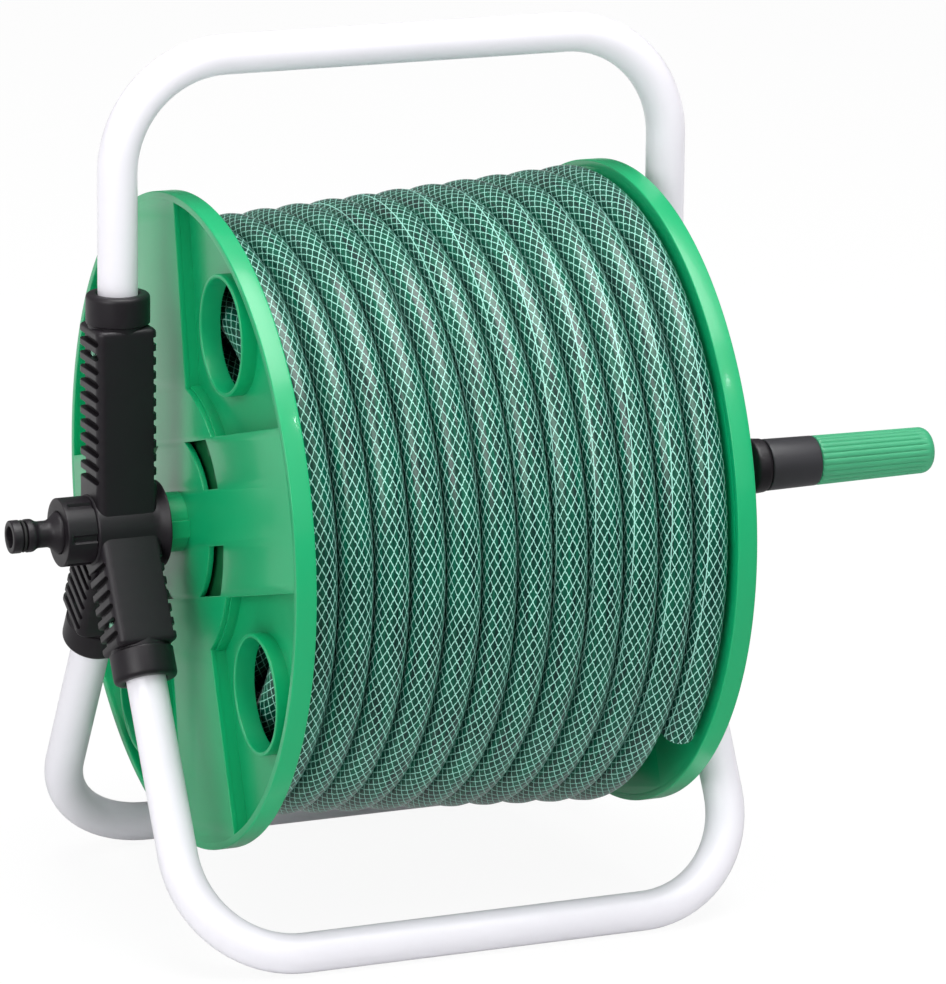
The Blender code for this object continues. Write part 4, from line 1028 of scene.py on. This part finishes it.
@dataclass
class Inlet:
    """The threaded nut with its lugs, and the quick-connect nose that it holds."""

    outer_face: float = -0.20985
    hub_face: float = -0.19475
    radius: float = 0.0172
    mouth: float = 0.0106
    thread: float = 0.0131
    lip: float = 0.006
    lugs: int = 6
    groove: float = 0.0013
    groove_half: float = 0.0022
    groove_soft: tuple[float, float] = (0.0008, 0.0007)
    closed_run: float = 0.0024
    nose_tip: float = -0.2351
    seal_place: float = 0.0064
    seal_radius: float = 0.0073
    seal_half: float = 0.0008

    def nut(self) -> Array:
        """The nut: a turned profile with grooves between its lugs.

        The radius is less by the groove's depth wherever the arc distance from the nearest groove's
        middle is under its half width, with a soft edge, from the hub's side up to the closed run.

        Returns:
            The grid.
        """
        r, face, lip = self.radius, self.outer_face, self.outer_face + self.lip
        run = np.linspace(face + self.closed_run - 0.0012, self.hub_face, 22)
        mouth = np.array([(lip, self.mouth), (face, self.mouth), (face, r), (run[0], r)])
        mouth = soften(mouth, np.array([0.0007, 0.0012]))
        back = np.array([(self.hub_face, self.thread), (lip, self.thread), (lip, self.mouth)])
        profile = np.concatenate([mouth[:-1], np.column_stack([run, np.full(22, r)]), back])
        angles = closing_angles(240)[None, :]
        pitch = 2 * math.pi / self.lugs
        away = np.abs((angles - QUARTER + pitch) % pitch - pitch / 2) * r
        across = eased(ramp(self.groove_half - away, self.groove_soft[0]))
        along = eased(ramp(profile[:, :1] - (face + self.closed_run), self.groove_soft[1]))
        on_outside = (profile[:, 1:] > r - NEARLY_ZERO).astype(float)
        depth = self.groove * on_outside * across * along
        return shrunk(turned(profile, 240), 1 - depth / np.maximum(profile[:, 1:], TINY), AXLE)

    def nose(self) -> Array:
        """The nose: tip ring, groove with its seal, ridge, waist, cone and shoulder, round a bore."""
        corners = [(0.0120, 0.0), (0.0120, 0.0053), (0.0000, 0.0053), (0.0000, 0.0083), (0.0050, 0.0083)]
        corners += [(0.0052, 0.0066), (0.0076, 0.0066), (0.0078, 0.0083), (0.0112, 0.0083), (0.0136, 0.0067)]
        corners += [(0.0200, 0.0067), (0.0240, 0.0106), (0.02985, 0.0106), (0.02985, 0.0128), (0.02985, 0.0)]
        cuts = [0, 0.0006, 0.0009, 0.0006, 0.0003, 0.0003, 0.0006, 0.0010, 0.0012, 0.0016, 0.0012, 0.0, 0]
        profile = soften(np.array(corners), np.array(cuts))
        profile[:, 0] += self.nose_tip
        return turned(profile, 72)

    def seal(self) -> Array:
        """The round seal in the nose's groove."""
        angles, turn = closing_angles(72)[None, :], closing_angles(12)[:, None]
        radius = self.seal_radius + self.seal_half * np.cos(turn)
        x = self.nose_tip + self.seal_place + self.seal_half * np.sin(turn) + 0 * angles
        return np.stack([x, radius * np.cos(angles), AXLE[2] + radius * np.sin(angles)], axis=-1)

    def build(self) -> None:
        """Makes the nut, the nose and its seal and dresses them."""
        for name, grid, sharp, slot, node in (
            ("inlet_nut", self.nut(), 30.0, Slot.BLACK_PLASTIC, "connector_nut"),
            ("inlet_nose", self.nose(), 40.0, Slot.BLACK_PLASTIC, "connector_nose"),
            ("inlet_nose_seal", self.seal(), 38.0, Slot.RUBBER, "nose_seal"),
        ):
            dress(Surface().add(grid).piece(name, sharp), Body.FRAME, slot, node)


# ---------------------------------------------------------------- the drum


@dataclass
class Flange:
    """One green side of the drum: a disc and four bands round four pockets, each with a hand hole."""

    end: End
    radius: float = 0.165
    rim_wall: float = 0.004
    rim_round: float = 0.0008
    rim_overlap: float = 0.0012
    depth: float = 0.0104
    plate: float = 0.003
    disc_radius: float = 0.071
    wide_half: float = 0.0395
    narrow_near: float = 0.029
    narrow_far: float = 0.0375
    hole_reach: float = 0.124
    hole_radius: float = 0.028
    collar_wall: float = 0.002
    collar_round: float = 0.0007
    floor: float = 0.0079
    wall: float = 0.0025
    wall_inset: float = 0.0001
    floor_overlap: float = 0.0008
    socket: float = 0.0683
    socket_inside: float = 0.0695
    edge: float = 0.0004
    face_inset: float = 0.00004
    back_inset: float = 0.00005
    boss_radius: float = 0.015
    boss_length: float = 0.0103
    journal: tuple[float, float] = (-0.0291, 0.013)
    inner_boss: tuple[float, float, float] = (0.0012, 0.022, 0.016)
    key: tuple[float, float, float] = (0.0162, 0.0045, 0.008)
    key_run: tuple[float, float] = (-0.0100, 0.0010)
    window: tuple[float, float] = (0.0435, 0.0640)
    window_half: tuple[float, float] = (0.014, 0.0385)

    @property
    def face(self) -> float:
        """The world X of the flange's outer face."""
        return -0.14635 if self.end is End.INLET else 0.09525

    def pocket(self, signs: tuple[int, int], out: float = 0.0) -> Array:
        """The outline of a pocket, grown by a margin.

        It runs along an arc under the rim, down the edge of the narrow band, back along an arc round the
        disc and out along the edge of the wide band.

        Args:
            signs: the quadrant, as the signs of y and z.
            out: the margin.

        Returns:
            Rows of (y, z), without a repeated last point.
        """
        low, high = self.disc_radius - out, self.radius - self.rim_wall + out
        wide, near, far = self.wide_half - out, self.narrow_near - out, self.narrow_far - out
        outer = arc(high, math.asin(wide / high), math.acos(far / high), 33)
        inner = arc(low, math.acos(near / low), math.asin(wide / low), 15)
        share = np.linspace(0, 1, 14)[1:-1, None]
        down = outer[-1] + share * (inner[0] - outer[-1])
        back = inner[-1] + share * (outer[0] - inner[-1])
        return np.concatenate([outer, down, inner, back]) * np.array(signs)

    def window_outline(self, signs: tuple[int, int]) -> Array:
        """A window through the disc, between two radii and two levels.

        Args:
            signs: the quadrant, as the signs of y and z.

        Returns:
            Rows of (y, z).
        """
        near, far = self.window
        low, high = self.window_half
        outer = arc(far, math.asin(low / far), math.asin(high / far), 9)
        inner = arc(near, math.asin(high / near), math.asin(low / near), 9)
        return np.concatenate([outer, inner]) * np.array(signs)

    def set_back(self, depth: Array | float, yz: Array) -> Array:
        """Places the drum's own (y, z) points in the world, at a depth from the outer face inwards."""
        x = np.asarray(self.face - self.end.value * depth)
        return on_drum(joined(x[..., None], yz))

    def turned_ring(self, corners: list, cut: float, steps: int, centre: Array | float = 0.0) -> Array:
        """A closed ring of rounded (depth, radius) corners, round the axle or a (y, z) centre of its own."""
        profile = ring_soft(np.array(corners), cut)
        return self.set_back(profile[:, :1], wheel(profile[:, 1], steps) + centre)

    def plates(self, surface: Surface) -> None:
        """Adds the disc and bands at the face, and the bands' backs towards the drum.

        The front plate has the four pockets and the windows left out, and the back one the pockets and
        the barrel's socket.

        Args:
            surface: what they are added to.
        """
        around = circle(closing_angles(180)[:-1])
        rim = (self.radius - self.rim_wall + self.rim_overlap) * around
        pockets = [self.pocket(q) for q in QUADRANTS]
        windows = [self.window_outline(q) for q in QUADRANTS]
        for outlines, low, high in (
            ([rim] + pockets + windows, self.face_inset, self.plate + self.face_inset),
            ([rim, self.socket_inside * around] + pockets, self.floor, self.depth - self.back_inset),
        ):
            points, triangles = flat_shape(outlines, high - low, self.edge)
            placed = self.set_back(points[:, 0] + low, points[:, 1:])
            surface.weld(placed, outward(placed, triangles), np.zeros(triangles.shape + (2,)))

    def boss_key(self, surface: Surface) -> None:
        """Adds the key along the inlet side's boss, level and to the front at rest.

        Args:
            surface: what it is added to.
        """
        front, half, root = self.key
        line = ring_soft(np.array([(-front, -half), (-front, half), (-root, half), (-root, -half)]), 0.0005)
        places = line + (0, AXLE[2])
        rows = [np.column_stack([np.full(len(line), self.face + run), places]) for run in self.key_run]
        surface.add(capped(np.stack(rows)))

    def pocket_parts(self, surface: Surface, signs: tuple[int, int]) -> None:
        """Adds a pocket's wall, its floor and the collar round its hole.

        The floor's rows run from the collar to the wall along straight lines from the hole's middle.

        Args:
            surface: what they are added to.
            signs: the quadrant, as the signs of y and z.
        """
        inset, low, back = self.wall_inset, self.plate - 2 * self.edge, self.depth - self.wall_inset
        order = [(inset, low), (inset, back), (self.wall, back), (self.wall, low), (inset, low)]
        surface.add(np.stack([self.set_back(deep, ring(self.pocket(signs, out))) for out, deep in order]))
        centre = np.array(signs) * self.hole_reach / math.sqrt(2)
        edge = ring(self.pocket(signs, self.floor_overlap))
        start = centre + unit(edge - centre) * (self.hole_radius + self.collar_wall / 2)
        plan = start + np.linspace(0, 1, 13)[:, None, None] * (edge - start)
        top, bottom = self.set_back(self.floor, plan), self.set_back(self.depth, plan)[::-1]
        surface.add(np.concatenate([top, bottom, top[:1]]))
        r, high, deep = self.hole_radius, self.hole_radius + self.collar_wall, self.depth
        corners = [(deep, r + 0.0010), (deep, r), (0.0, r), (0.0, high), (deep, high)]
        surface.add(self.turned_ring(corners, self.collar_round, 96, centre))

    def boss(self, surface: Surface) -> None:
        """Adds the boss and journal in the middle, and the inner boss that holds the shaft or the elbow.

        Args:
            surface: what they are added to.
        """
        near, far, wide = self.inner_boss
        inner = [(near, 0.0), (near, wide), (far, wide), (far, 0.0)]
        corners, cuts = inner, [0.0, 0.0008]
        if self.end is End.INLET:
            (tip, thin), shoulder, r = self.journal, -self.boss_length, self.boss_radius
            corners = [(tip, 0.0), (tip, thin), (shoulder, thin), (shoulder, r), (near, r)] + inner[1:]
            cuts = [0.0005, 0.0, 0.0009, 0.0, 0.0, 0.0008]
        profile = soften(np.array(corners), np.array(cuts), 4)
        surface.add(self.set_back(profile[:, :1], wheel(profile[:, 1], 72)))

    def build(self) -> None:
        """Makes the flange and dresses it."""
        surface = Surface()
        self.plates(surface)
        r, inside, deep = self.radius, self.radius - self.rim_wall, self.depth
        rim = [(deep / 2, inside), (0.0, inside), (0.0, r), (deep, r), (deep, inside)]
        surface.add(self.turned_ring(rim, self.rim_round, 360))
        low, wide, tight = self.plate - 0.0002, self.disc_radius + 0.001, self.socket
        socket = [(0.006, tight), (low, tight), (low, wide), (deep, wide), (deep, tight)]
        surface.add(self.turned_ring(socket, 0.0001, 180))
        for signs in QUADRANTS:
            self.pocket_parts(surface, signs)
        self.boss(surface)
        if self.end is End.INLET:
            self.boss_key(surface)
        piece = surface.piece(f"{self.end.label}_drum_side", 32.0)
        dress(piece, Body.DRUM, Slot.GREEN_PLASTIC, f"{self.end.label}_flange")


@dataclass
class Winding:
    """The hose on the drum: an outer layer of twelve turns over inner layers that show through the holes."""

    radius: float = 0.0088
    bore: float = 0.00625
    cut_edge: float = 0.0004
    pitch: float = 0.0182
    outer: float = 0.1541
    climb: float = 0.0128
    first_x: float = -0.12565
    strands: int = 12
    start: float = math.radians(-85)
    end: float = math.radians(123)
    crossing: float = math.radians(-150)
    crossing_arc: float = math.radians(120)
    ring_step: float = 0.0036
    sides: int = 24
    inner_layers: int = 4
    inner_steps: int = 96
    inner_sides: int = 16
    inset: int = 4
    tail_inset: float = 0.0005

    def route(self, radius: float, first_x: float, strands: int, steps: int) -> Array:
        """The middle line of a layer, whose turns lie flat over the top and cross over low at the back.

        With k = (angle - crossing) / 2 pi, n the nearest whole number and q = (k - n) / arc + 1/2 kept
        between 0 and 1, the turn's number is n - 1 + q^2 (3 - 2 q). It sets X, while Y = -R sin(angle)
        and Z = R cos(angle), with R growing evenly along X.

        Args:
            radius: the layer's radius at the crank's end.
            first_x: the world X of its first turn.
            strands: how many turns it has.
            steps: how many points a turn has.

        Returns:
            The points in the world.
        """
        whole = 2 * math.pi
        last = whole * (strands - 1) + self.end
        angle = np.linspace(self.start, last, int(steps * (last - self.start) / whole))
        turns = (angle - self.crossing) / whole
        nearest = np.floor(turns + 0.5)
        share = np.clip((turns - nearest) / (self.crossing_arc / whole) + 0.5, 0, 1)
        x = first_x + (nearest - 1 + eased(share)) * self.pitch
        r = radius - self.climb * (1 - (x - self.first_x) / ((self.strands - 1) * self.pitch))
        return np.stack([x, -r * np.sin(angle), AXLE[2] + r * np.cos(angle)], axis=1)

    def hose(self, path: Array, sides: int) -> tuple[Array, Array]:
        """A hose along a path, hollow at both cut ends, with texture places.

        Args:
            path: its middle line.
            sides: how many faces go round.

        Returns:
            The grid of points, and one of (share of the way round, metres along).
        """
        along = tangents(path)
        side = unit(np.cross(along, unit((path - AXLE) * (0, 1, 1))))
        up = np.cross(side, along)
        last, inset = len(path) - 1, self.inset
        start, end = [inset, inset, 0, 0], [last, last, last - inset, last - inset]
        rows = np.concatenate([start, np.arange(last + 1), end])
        radius = np.full(len(rows), self.radius)
        radius[[0, -1]] = 0.0
        radius[[1, 2, -2, -3]] = self.bore
        radius[[3, -4]] = self.radius - self.cut_edge
        angles = closing_angles(sides)[None, :, None]
        offset = np.cos(angles) * side[rows][:, None, :] + np.sin(angles) * up[rows][:, None, :]
        grid = path[rows][:, None, :] + radius[:, None, None] * offset
        run = np.concatenate([[0.0], np.cumsum(np.linalg.norm(np.diff(path, axis=0), axis=1))])
        around = np.linspace(0, 1, sides + 1)
        return grid, np.stack(np.broadcast_arrays(around[None, :], run[rows][:, None]), axis=-1)

    def outer_turns(self) -> Surface:
        """The outer layer, with a short straight lead at both ends."""
        steps = int(2 * math.pi * self.outer / self.ring_step)
        path = self.route(self.outer, self.first_x, self.strands, steps)
        along = tangents(path)
        lead = np.linspace(self.radius * 2, 0, 7)[:-1, None]
        path = np.concatenate([path[0] - along[0] * lead, path, path[-1] + along[-1] * lead[::-1]])
        return Surface().add(*self.hose(path, self.sides))

    def inner_turns(self) -> Surface:
        """The inner layers, each nested in the one outside it."""
        inner = Surface()
        for layer in range(1, self.inner_layers + 1):
            odd, radius = layer % 2, self.outer - self.radius * math.sqrt(3) * layer
            first_x = self.first_x + odd * self.pitch / 2
            route = self.route(radius, first_x, self.strands - odd, self.inner_steps)
            inner.add(*self.hose(route, self.inner_sides))
        return inner

    def tail(self) -> Surface:
        """The hose's first stretch inside the barrel, upright over its node."""
        low, high = (np.array(corner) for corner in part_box("hose_tail"))
        middle = (low + high) / 2
        z = np.linspace(low[2] + self.tail_inset, high[2] - self.tail_inset, 12)[:, None]
        around = closing_angles(self.sides)[None, :]
        x, y = middle[0] + self.radius * np.cos(around), middle[1] + self.radius * np.sin(around)
        grid = np.stack(np.broadcast_arrays(x, y, z), axis=-1)
        places = np.stack(np.broadcast_arrays(np.linspace(0, 1, self.sides + 1)[None, :], z), axis=-1)
        return Surface().add(capped(grid), np.concatenate([places[:1], places, places[-1:]]))

    def build(self) -> None:
        """Makes the outer layer, the inner layers and the end inside the barrel, and dresses them."""
        for surface, name, node in (
            (self.outer_turns(), "hose_outer_turns", "hose_winding"),
            (self.inner_turns(), "hose_inner_turns", "hose_core"),
            (self.tail(), "hose_tail_run", "hose_tail"),
        ):
            dress(surface.piece(name), Body.DRUM, Slot.HOSE_GREEN, node)


# ---------------------------------------------------------------- the crank


@dataclass
class Crank:
    """The crank arm, the sleeve and the ribbed grip that turns on its spindle."""

    reach: float = 0.0733
    low: float = 0.13405
    high: float = 0.14205
    hub_radius: float = 0.017
    end_radius: float = 0.0137
    arm_inset: float = 0.013
    arm_edge: float = 0.0022
    arm_points: int = 40
    sleeve: tuple[float, float] = (0.14235, 0.16985)
    sleeve_radius: tuple[float, float] = (0.0132, 0.0127)
    grip: tuple[float, float] = (0.17015, 0.2351)
    grip_radius: tuple[float, float] = (0.0127, 0.0118)
    grip_round: float = 0.0052
    ribs: int = 24
    rib_depth: float = 0.0006
    rib_power: float = 0.6
    rib_faces: int = 8
    rib_fade: tuple[float, float] = (0.0005, 0.0012)

    @property
    def grip_axis(self) -> Array:
        """A point of the grip's axis in the world."""
        return on_drum(np.array([0.0, -self.reach, 0.0]))

    def arm(self) -> Array:
        """The arm: sections that shrink at both faces, with the outline of two circles and their tangents.

        Returns:
            The grid in the world.
        """
        lean = math.asin((self.hub_radius - self.end_radius) / self.reach)
        n = self.arm_points
        hub = arc(1.0, -QUARTER - lean, QUARTER + lean, n)
        tip = arc(1.0, QUARTER + lean, 3 * QUARTER - lean, n)
        away = ring(np.concatenate([hub, tip]))
        centre = ring(np.concatenate([np.zeros_like(hub), np.tile([-self.reach, 0.0], (n, 1))]))
        radius = ring(np.repeat([self.hub_radius, self.end_radius], n)[:, None])
        low, high, inset = self.low, self.high, -self.arm_inset
        section = soften(np.array([(low, inset), (low, 0.0), (high, 0.0), (high, inset)]), self.arm_edge, 6)
        yz = centre[None] + (radius[None] + section[:, 1][:, None, None]) * away[None]
        return capped(on_drum(joined(section[:, :1, None], yz)))

    def ribbed_grip(self) -> Array:
        """The grip: a tapered cylinder with fine ribs and a round end.

        With n ribs, the radius is less by the rib's depth times 1 - |sin(n a / 2)| ^ p. A power p under 1
        makes the ribs rounder than the grooves. They fade in and out near the two ends.

        Returns:
            The grid in the world.
        """
        start, end = self.grip
        near, far = self.grip_radius
        r, steps = self.grip_round, self.ribs * self.rib_faces
        run = np.linspace(start + 0.0006, end - 0.0055, 40)
        body = np.column_stack([run, near + (far - near) * (run - start) / (end - start)])
        t = np.linspace(0, QUARTER, 9)[1:]
        tip = np.column_stack([end - r + r * np.sin(t), far - r + r * np.cos(t)])
        first, flat = [(start, 0.0), (start, near - 0.0006)], [(end, far - 0.009), (end, 0.0)]
        profile = np.concatenate([first, body, tip, flat])
        wave = np.abs(np.sin(closing_angles(steps)[None, :] * self.ribs / 2)) ** self.rib_power
        fade_in, fade_out = self.rib_fade
        fade = ramp(profile[:, :1] - start, fade_in) * ramp(end - r - profile[:, :1], fade_out)
        share = 1 - self.rib_depth * fade * (1 - wave) / np.maximum(profile[:, 1:], TINY)
        return shrunk(turned(profile, steps, self.grip_axis), share, self.grip_axis)

    def build(self) -> None:
        """Makes the arm, the sleeve and the grip and dresses them."""
        arm = Surface().add(self.arm()).piece("crank_lever", 32.0)
        dress(arm, Body.DRUM, Slot.BLACK_PLASTIC, "crank_arm")
        (a, b), (wide, narrow) = self.sleeve, self.sleeve_radius
        sleeve = soften(np.array([(a, 0.0), (a, wide), (b, narrow), (b, 0.0)]), 0.0009)
        sleeve = Surface().add(turned(sleeve, 72, self.grip_axis)).piece("grip_collar")
        dress(sleeve, Body.DRUM, Slot.GREY_PLASTIC, "grip_sleeve")
        grip = Surface().add(self.ribbed_grip()).piece("ribbed_grip", 60.0)
        dress(grip, Body.GRIP, Slot.GRIP_GREEN, "grip")


# ---------------------------------------------------------------- nodes, stage, lights and camera


def dress_nodes() -> None:
    """Gives every node that stays its own finish by its slot in the record; the drum's inner parts get
    painted shade.
    """
    slots = {part["node"]: part["material_slot"] for part in frame["record"]["subparts"]}
    for name, obj in frame["nodes"].items():
        # the end discs and the barrel take a darker green: painted shade inside the drum
        finish = PAINTED_SHADE_GREEN if name in PAINTED_SHADE_NODES else FINISHES[Slot(slots[name])]
        obj.data.materials.clear()
        obj.data.materials.append(finish.material())


@dataclass
class Studio:
    """The pale floor, the soft lights and the camera at the photograph's angle."""

    azimuth: float = math.radians(22.69)
    elevation: float = math.radians(14.78)
    roll: float = math.radians(0.62)
    distance: float = 3.11235
    slide: tuple[float, float] = (0.0354, 0.00387)
    aim: tuple[float, float, float] = (0.00512, 0, 0)
    focal: float = 6145.18
    frame_height: float = 984.0
    sensor: float = 36.0
    floor_size: float = 14.0
    floor_depth: float = 0.05
    floor_gap: float = 0.0002
    floor_share: float = 0.93
    floor_mirrored: tuple[float, float] = (0.32, 0.6)
    floor_limits: tuple[float, float] = (0.06, 0.95)
    ambient: float = 0.40
    sky_mirrored: tuple[float, float] = (0.12, 0.35)
    sky_least: float = 0.05
    window_way: tuple[float, float, float] = (-0.72, 0.10, 0.62)
    lit_middle: tuple[float, float, float] = (0.0, 0.0, 0.2)

    @staticmethod
    def seen(tree: Tree) -> tuple[Socket, Socket]:
        """Whether a ray comes from the camera, also through glass, and whether it is a mirrored one."""
        ray = tree.nodes.new("ShaderNodeLightPath").outputs
        seen = maths(tree, "MAXIMUM", ray["Is Camera Ray"], ray["Is Transmission Ray"])
        return seen, ray["Is Glossy Ray"]

    def floor(self) -> None:
        """Makes the floor, which the camera sees as part pure white and part lit, so that a shadow stays.

        What is mirrored of it has the strength a + b y, kept within two limits: the paper is lit behind
        the reel.
        """
        t = closing_angles(64)
        rim = self.floor_size * np.stack([np.cos(t), np.sin(t), 0 * t], axis=1)
        middle, drop = np.zeros_like(rim), (0, 0, self.floor_depth)
        grid = np.stack([middle, rim, rim - drop, middle - drop])
        floor = Surface().add(grid - (0, 0, self.floor_gap)).piece("floor")
        made, tree, shader = new_material("floor_white", (255, 255, 255))
        settings(shader, {"Base Color": (0.9, 0.9, 0.9, 1), "Roughness": 0.9, "Specular IOR Level": 0.1})
        seen, glossy = self.seen(tree)
        white, mirrored = (tree.nodes.new("ShaderNodeEmission") for _ in range(2))
        split = tree.nodes.new("ShaderNodeSeparateXYZ")
        feed(tree, split.inputs[0], tree.nodes.new("ShaderNodeTexCoord").outputs["Object"])
        base, rise = self.floor_mirrored
        rising = maths(tree, "ADD", maths(tree, "MULTIPLY", split.outputs[1], rise), base)
        feed(tree, mirrored.inputs["Strength"], between(tree, rising, *self.floor_limits))
        share = maths(tree, "MULTIPLY", seen, self.floor_share)
        plain = mixed_shader(tree, share, shader.outputs[0], white.outputs[0])
        both = mixed_shader(tree, glossy, plain, mirrored.outputs[0])
        feed(tree, tree.nodes["Material Output"].inputs["Surface"], both)
        floor.data.materials.append(made)

    def sky(self) -> None:
        """Makes the world: white to the camera, a weaker even white that lights the reel, and a third to be
        mirrored in it, of strength a + b d . w, with d the ray's direction and w the way to the window.
        """
        world = bpy.data.worlds.new("studio")
        bpy.context.scene.world = world
        world.use_nodes = True
        tree = world.node_tree
        m = partial(maths, tree)
        back = tree.nodes["Background"]
        back.inputs["Color"].default_value = (1, 1, 1, 1)
        seen, glossy = self.seen(tree)
        facing = tree.nodes.new("ShaderNodeVectorMath")
        facing.operation = "DOT_PRODUCT"
        feed(tree, facing.inputs[0], tree.nodes.new("ShaderNodeTexCoord").outputs["Generated"])
        feed(tree, facing.inputs[1], self.window_way)
        base, rise = self.sky_mirrored
        mirrored = m("MAXIMUM", m("ADD", m("MULTIPLY", facing.outputs["Value"], rise), base), self.sky_least)
        lit = m("ADD", self.ambient, m("MULTIPLY", glossy, m("SUBTRACT", mirrored, self.ambient)))
        feed(tree, back.inputs["Strength"], m("MAXIMUM", seen, lit))

    @staticmethod
    def turn(obj: Object, right: Array, up: Array, forward: Array) -> None:
        """Puts a lamp or camera in the scene, turned by the quaternion of its own axes.

        With R the matrix whose columns are right, up and backward, w is half the root of one more than
        its trace, and the rest are the differences across its diagonal over 4 w.

        Args:
            obj: the lamp or camera.
            right: its right.
            up: its upward direction.
            forward: where it looks.
        """
        m = np.stack([right, up, -forward], axis=1)
        w = math.sqrt(max(1 + m[0, 0] + m[1, 1] + m[2, 2], 1e-12)) / 2
        x, y, z = (m[2, 1] - m[1, 2]), (m[0, 2] - m[2, 0]), (m[1, 0] - m[0, 1])
        obj.rotation_mode = "QUATERNION"
        obj.rotation_quaternion = (w, x / (4 * w), y / (4 * w), z / (4 * w))
        linked(obj)

    def lamp(self, name: str, place: tuple[float, float, float], size: float, power: float) -> None:
        """A square soft light that faces the middle of the reel.

        Args:
            name: the light's name.
            place: where it hangs.
            size: its side.
            power: its power in watts.
        """
        data = bpy.data.lights.new(name, "AREA")
        data.shape, data.size, data.energy = "SQUARE", size, power
        obj = bpy.data.objects.new(name, data)
        obj.location = place
        forward = unit(np.array(self.lit_middle) - np.array(place))
        right = unit(np.cross(forward, UPWARD))
        self.turn(obj, right, np.cross(right, forward), forward)

    def camera(self) -> None:
        """Sets the camera where the photograph's fitted view puts it."""
        sa, ca, se, ce = (f(a) for a in (self.azimuth, self.elevation) for f in (math.sin, math.cos))
        forward = np.array([sa * ce, ca * ce, -se])
        right = np.array([ca, -sa, 0.0])
        up = np.cross(right, forward)
        c, s = math.cos(self.roll), math.sin(self.roll)
        across, upward = right * c + up * s, -right * s + up * c
        centre = AXLE + np.array(self.aim)
        data = bpy.data.cameras.new("photo_view")
        data.lens = self.sensor * self.focal / self.frame_height
        data.sensor_width = self.sensor
        data.clip_end = 100.0
        obj = bpy.data.objects.new("photo_view", data)
        obj.location = centre - forward * self.distance + across * self.slide[0] + upward * self.slide[1]
        self.turn(obj, across, upward, forward)
        bpy.context.scene.camera = obj

    def build(self) -> None:
        """Makes the floor, the world, the lamps and the camera."""
        self.floor()
        self.sky()
        self.lamp("window_left", (-2.4, -1.5, 1.45), 1.7, 39)
        self.lamp("front_fill", (0.8, -3.0, 1.6), 2.0, 10)
        self.lamp("top_soft", (0.08, -0.45, 2.75), 2.2, 98)
        self.lamp("spark", (1.1, -1.95, 2.2), 0.10, 4)
        self.camera()
        bpy.context.scene.view_settings.view_transform = "Standard"


def main() -> None:
    """Builds the reel's pieces in order."""
    logging.basicConfig(level=logging.INFO, format="%(name)s %(message)s")
    dress_nodes()
    FrameTubes().build()
    for end in End:
        Hub(end).build()
    HubScrews().build()
    Inlet().build()
    for end in End:
        Flange(end).build()
    Winding().build()
    Crank().build()
    Studio().build()


if __name__ == "__main__":
    main()
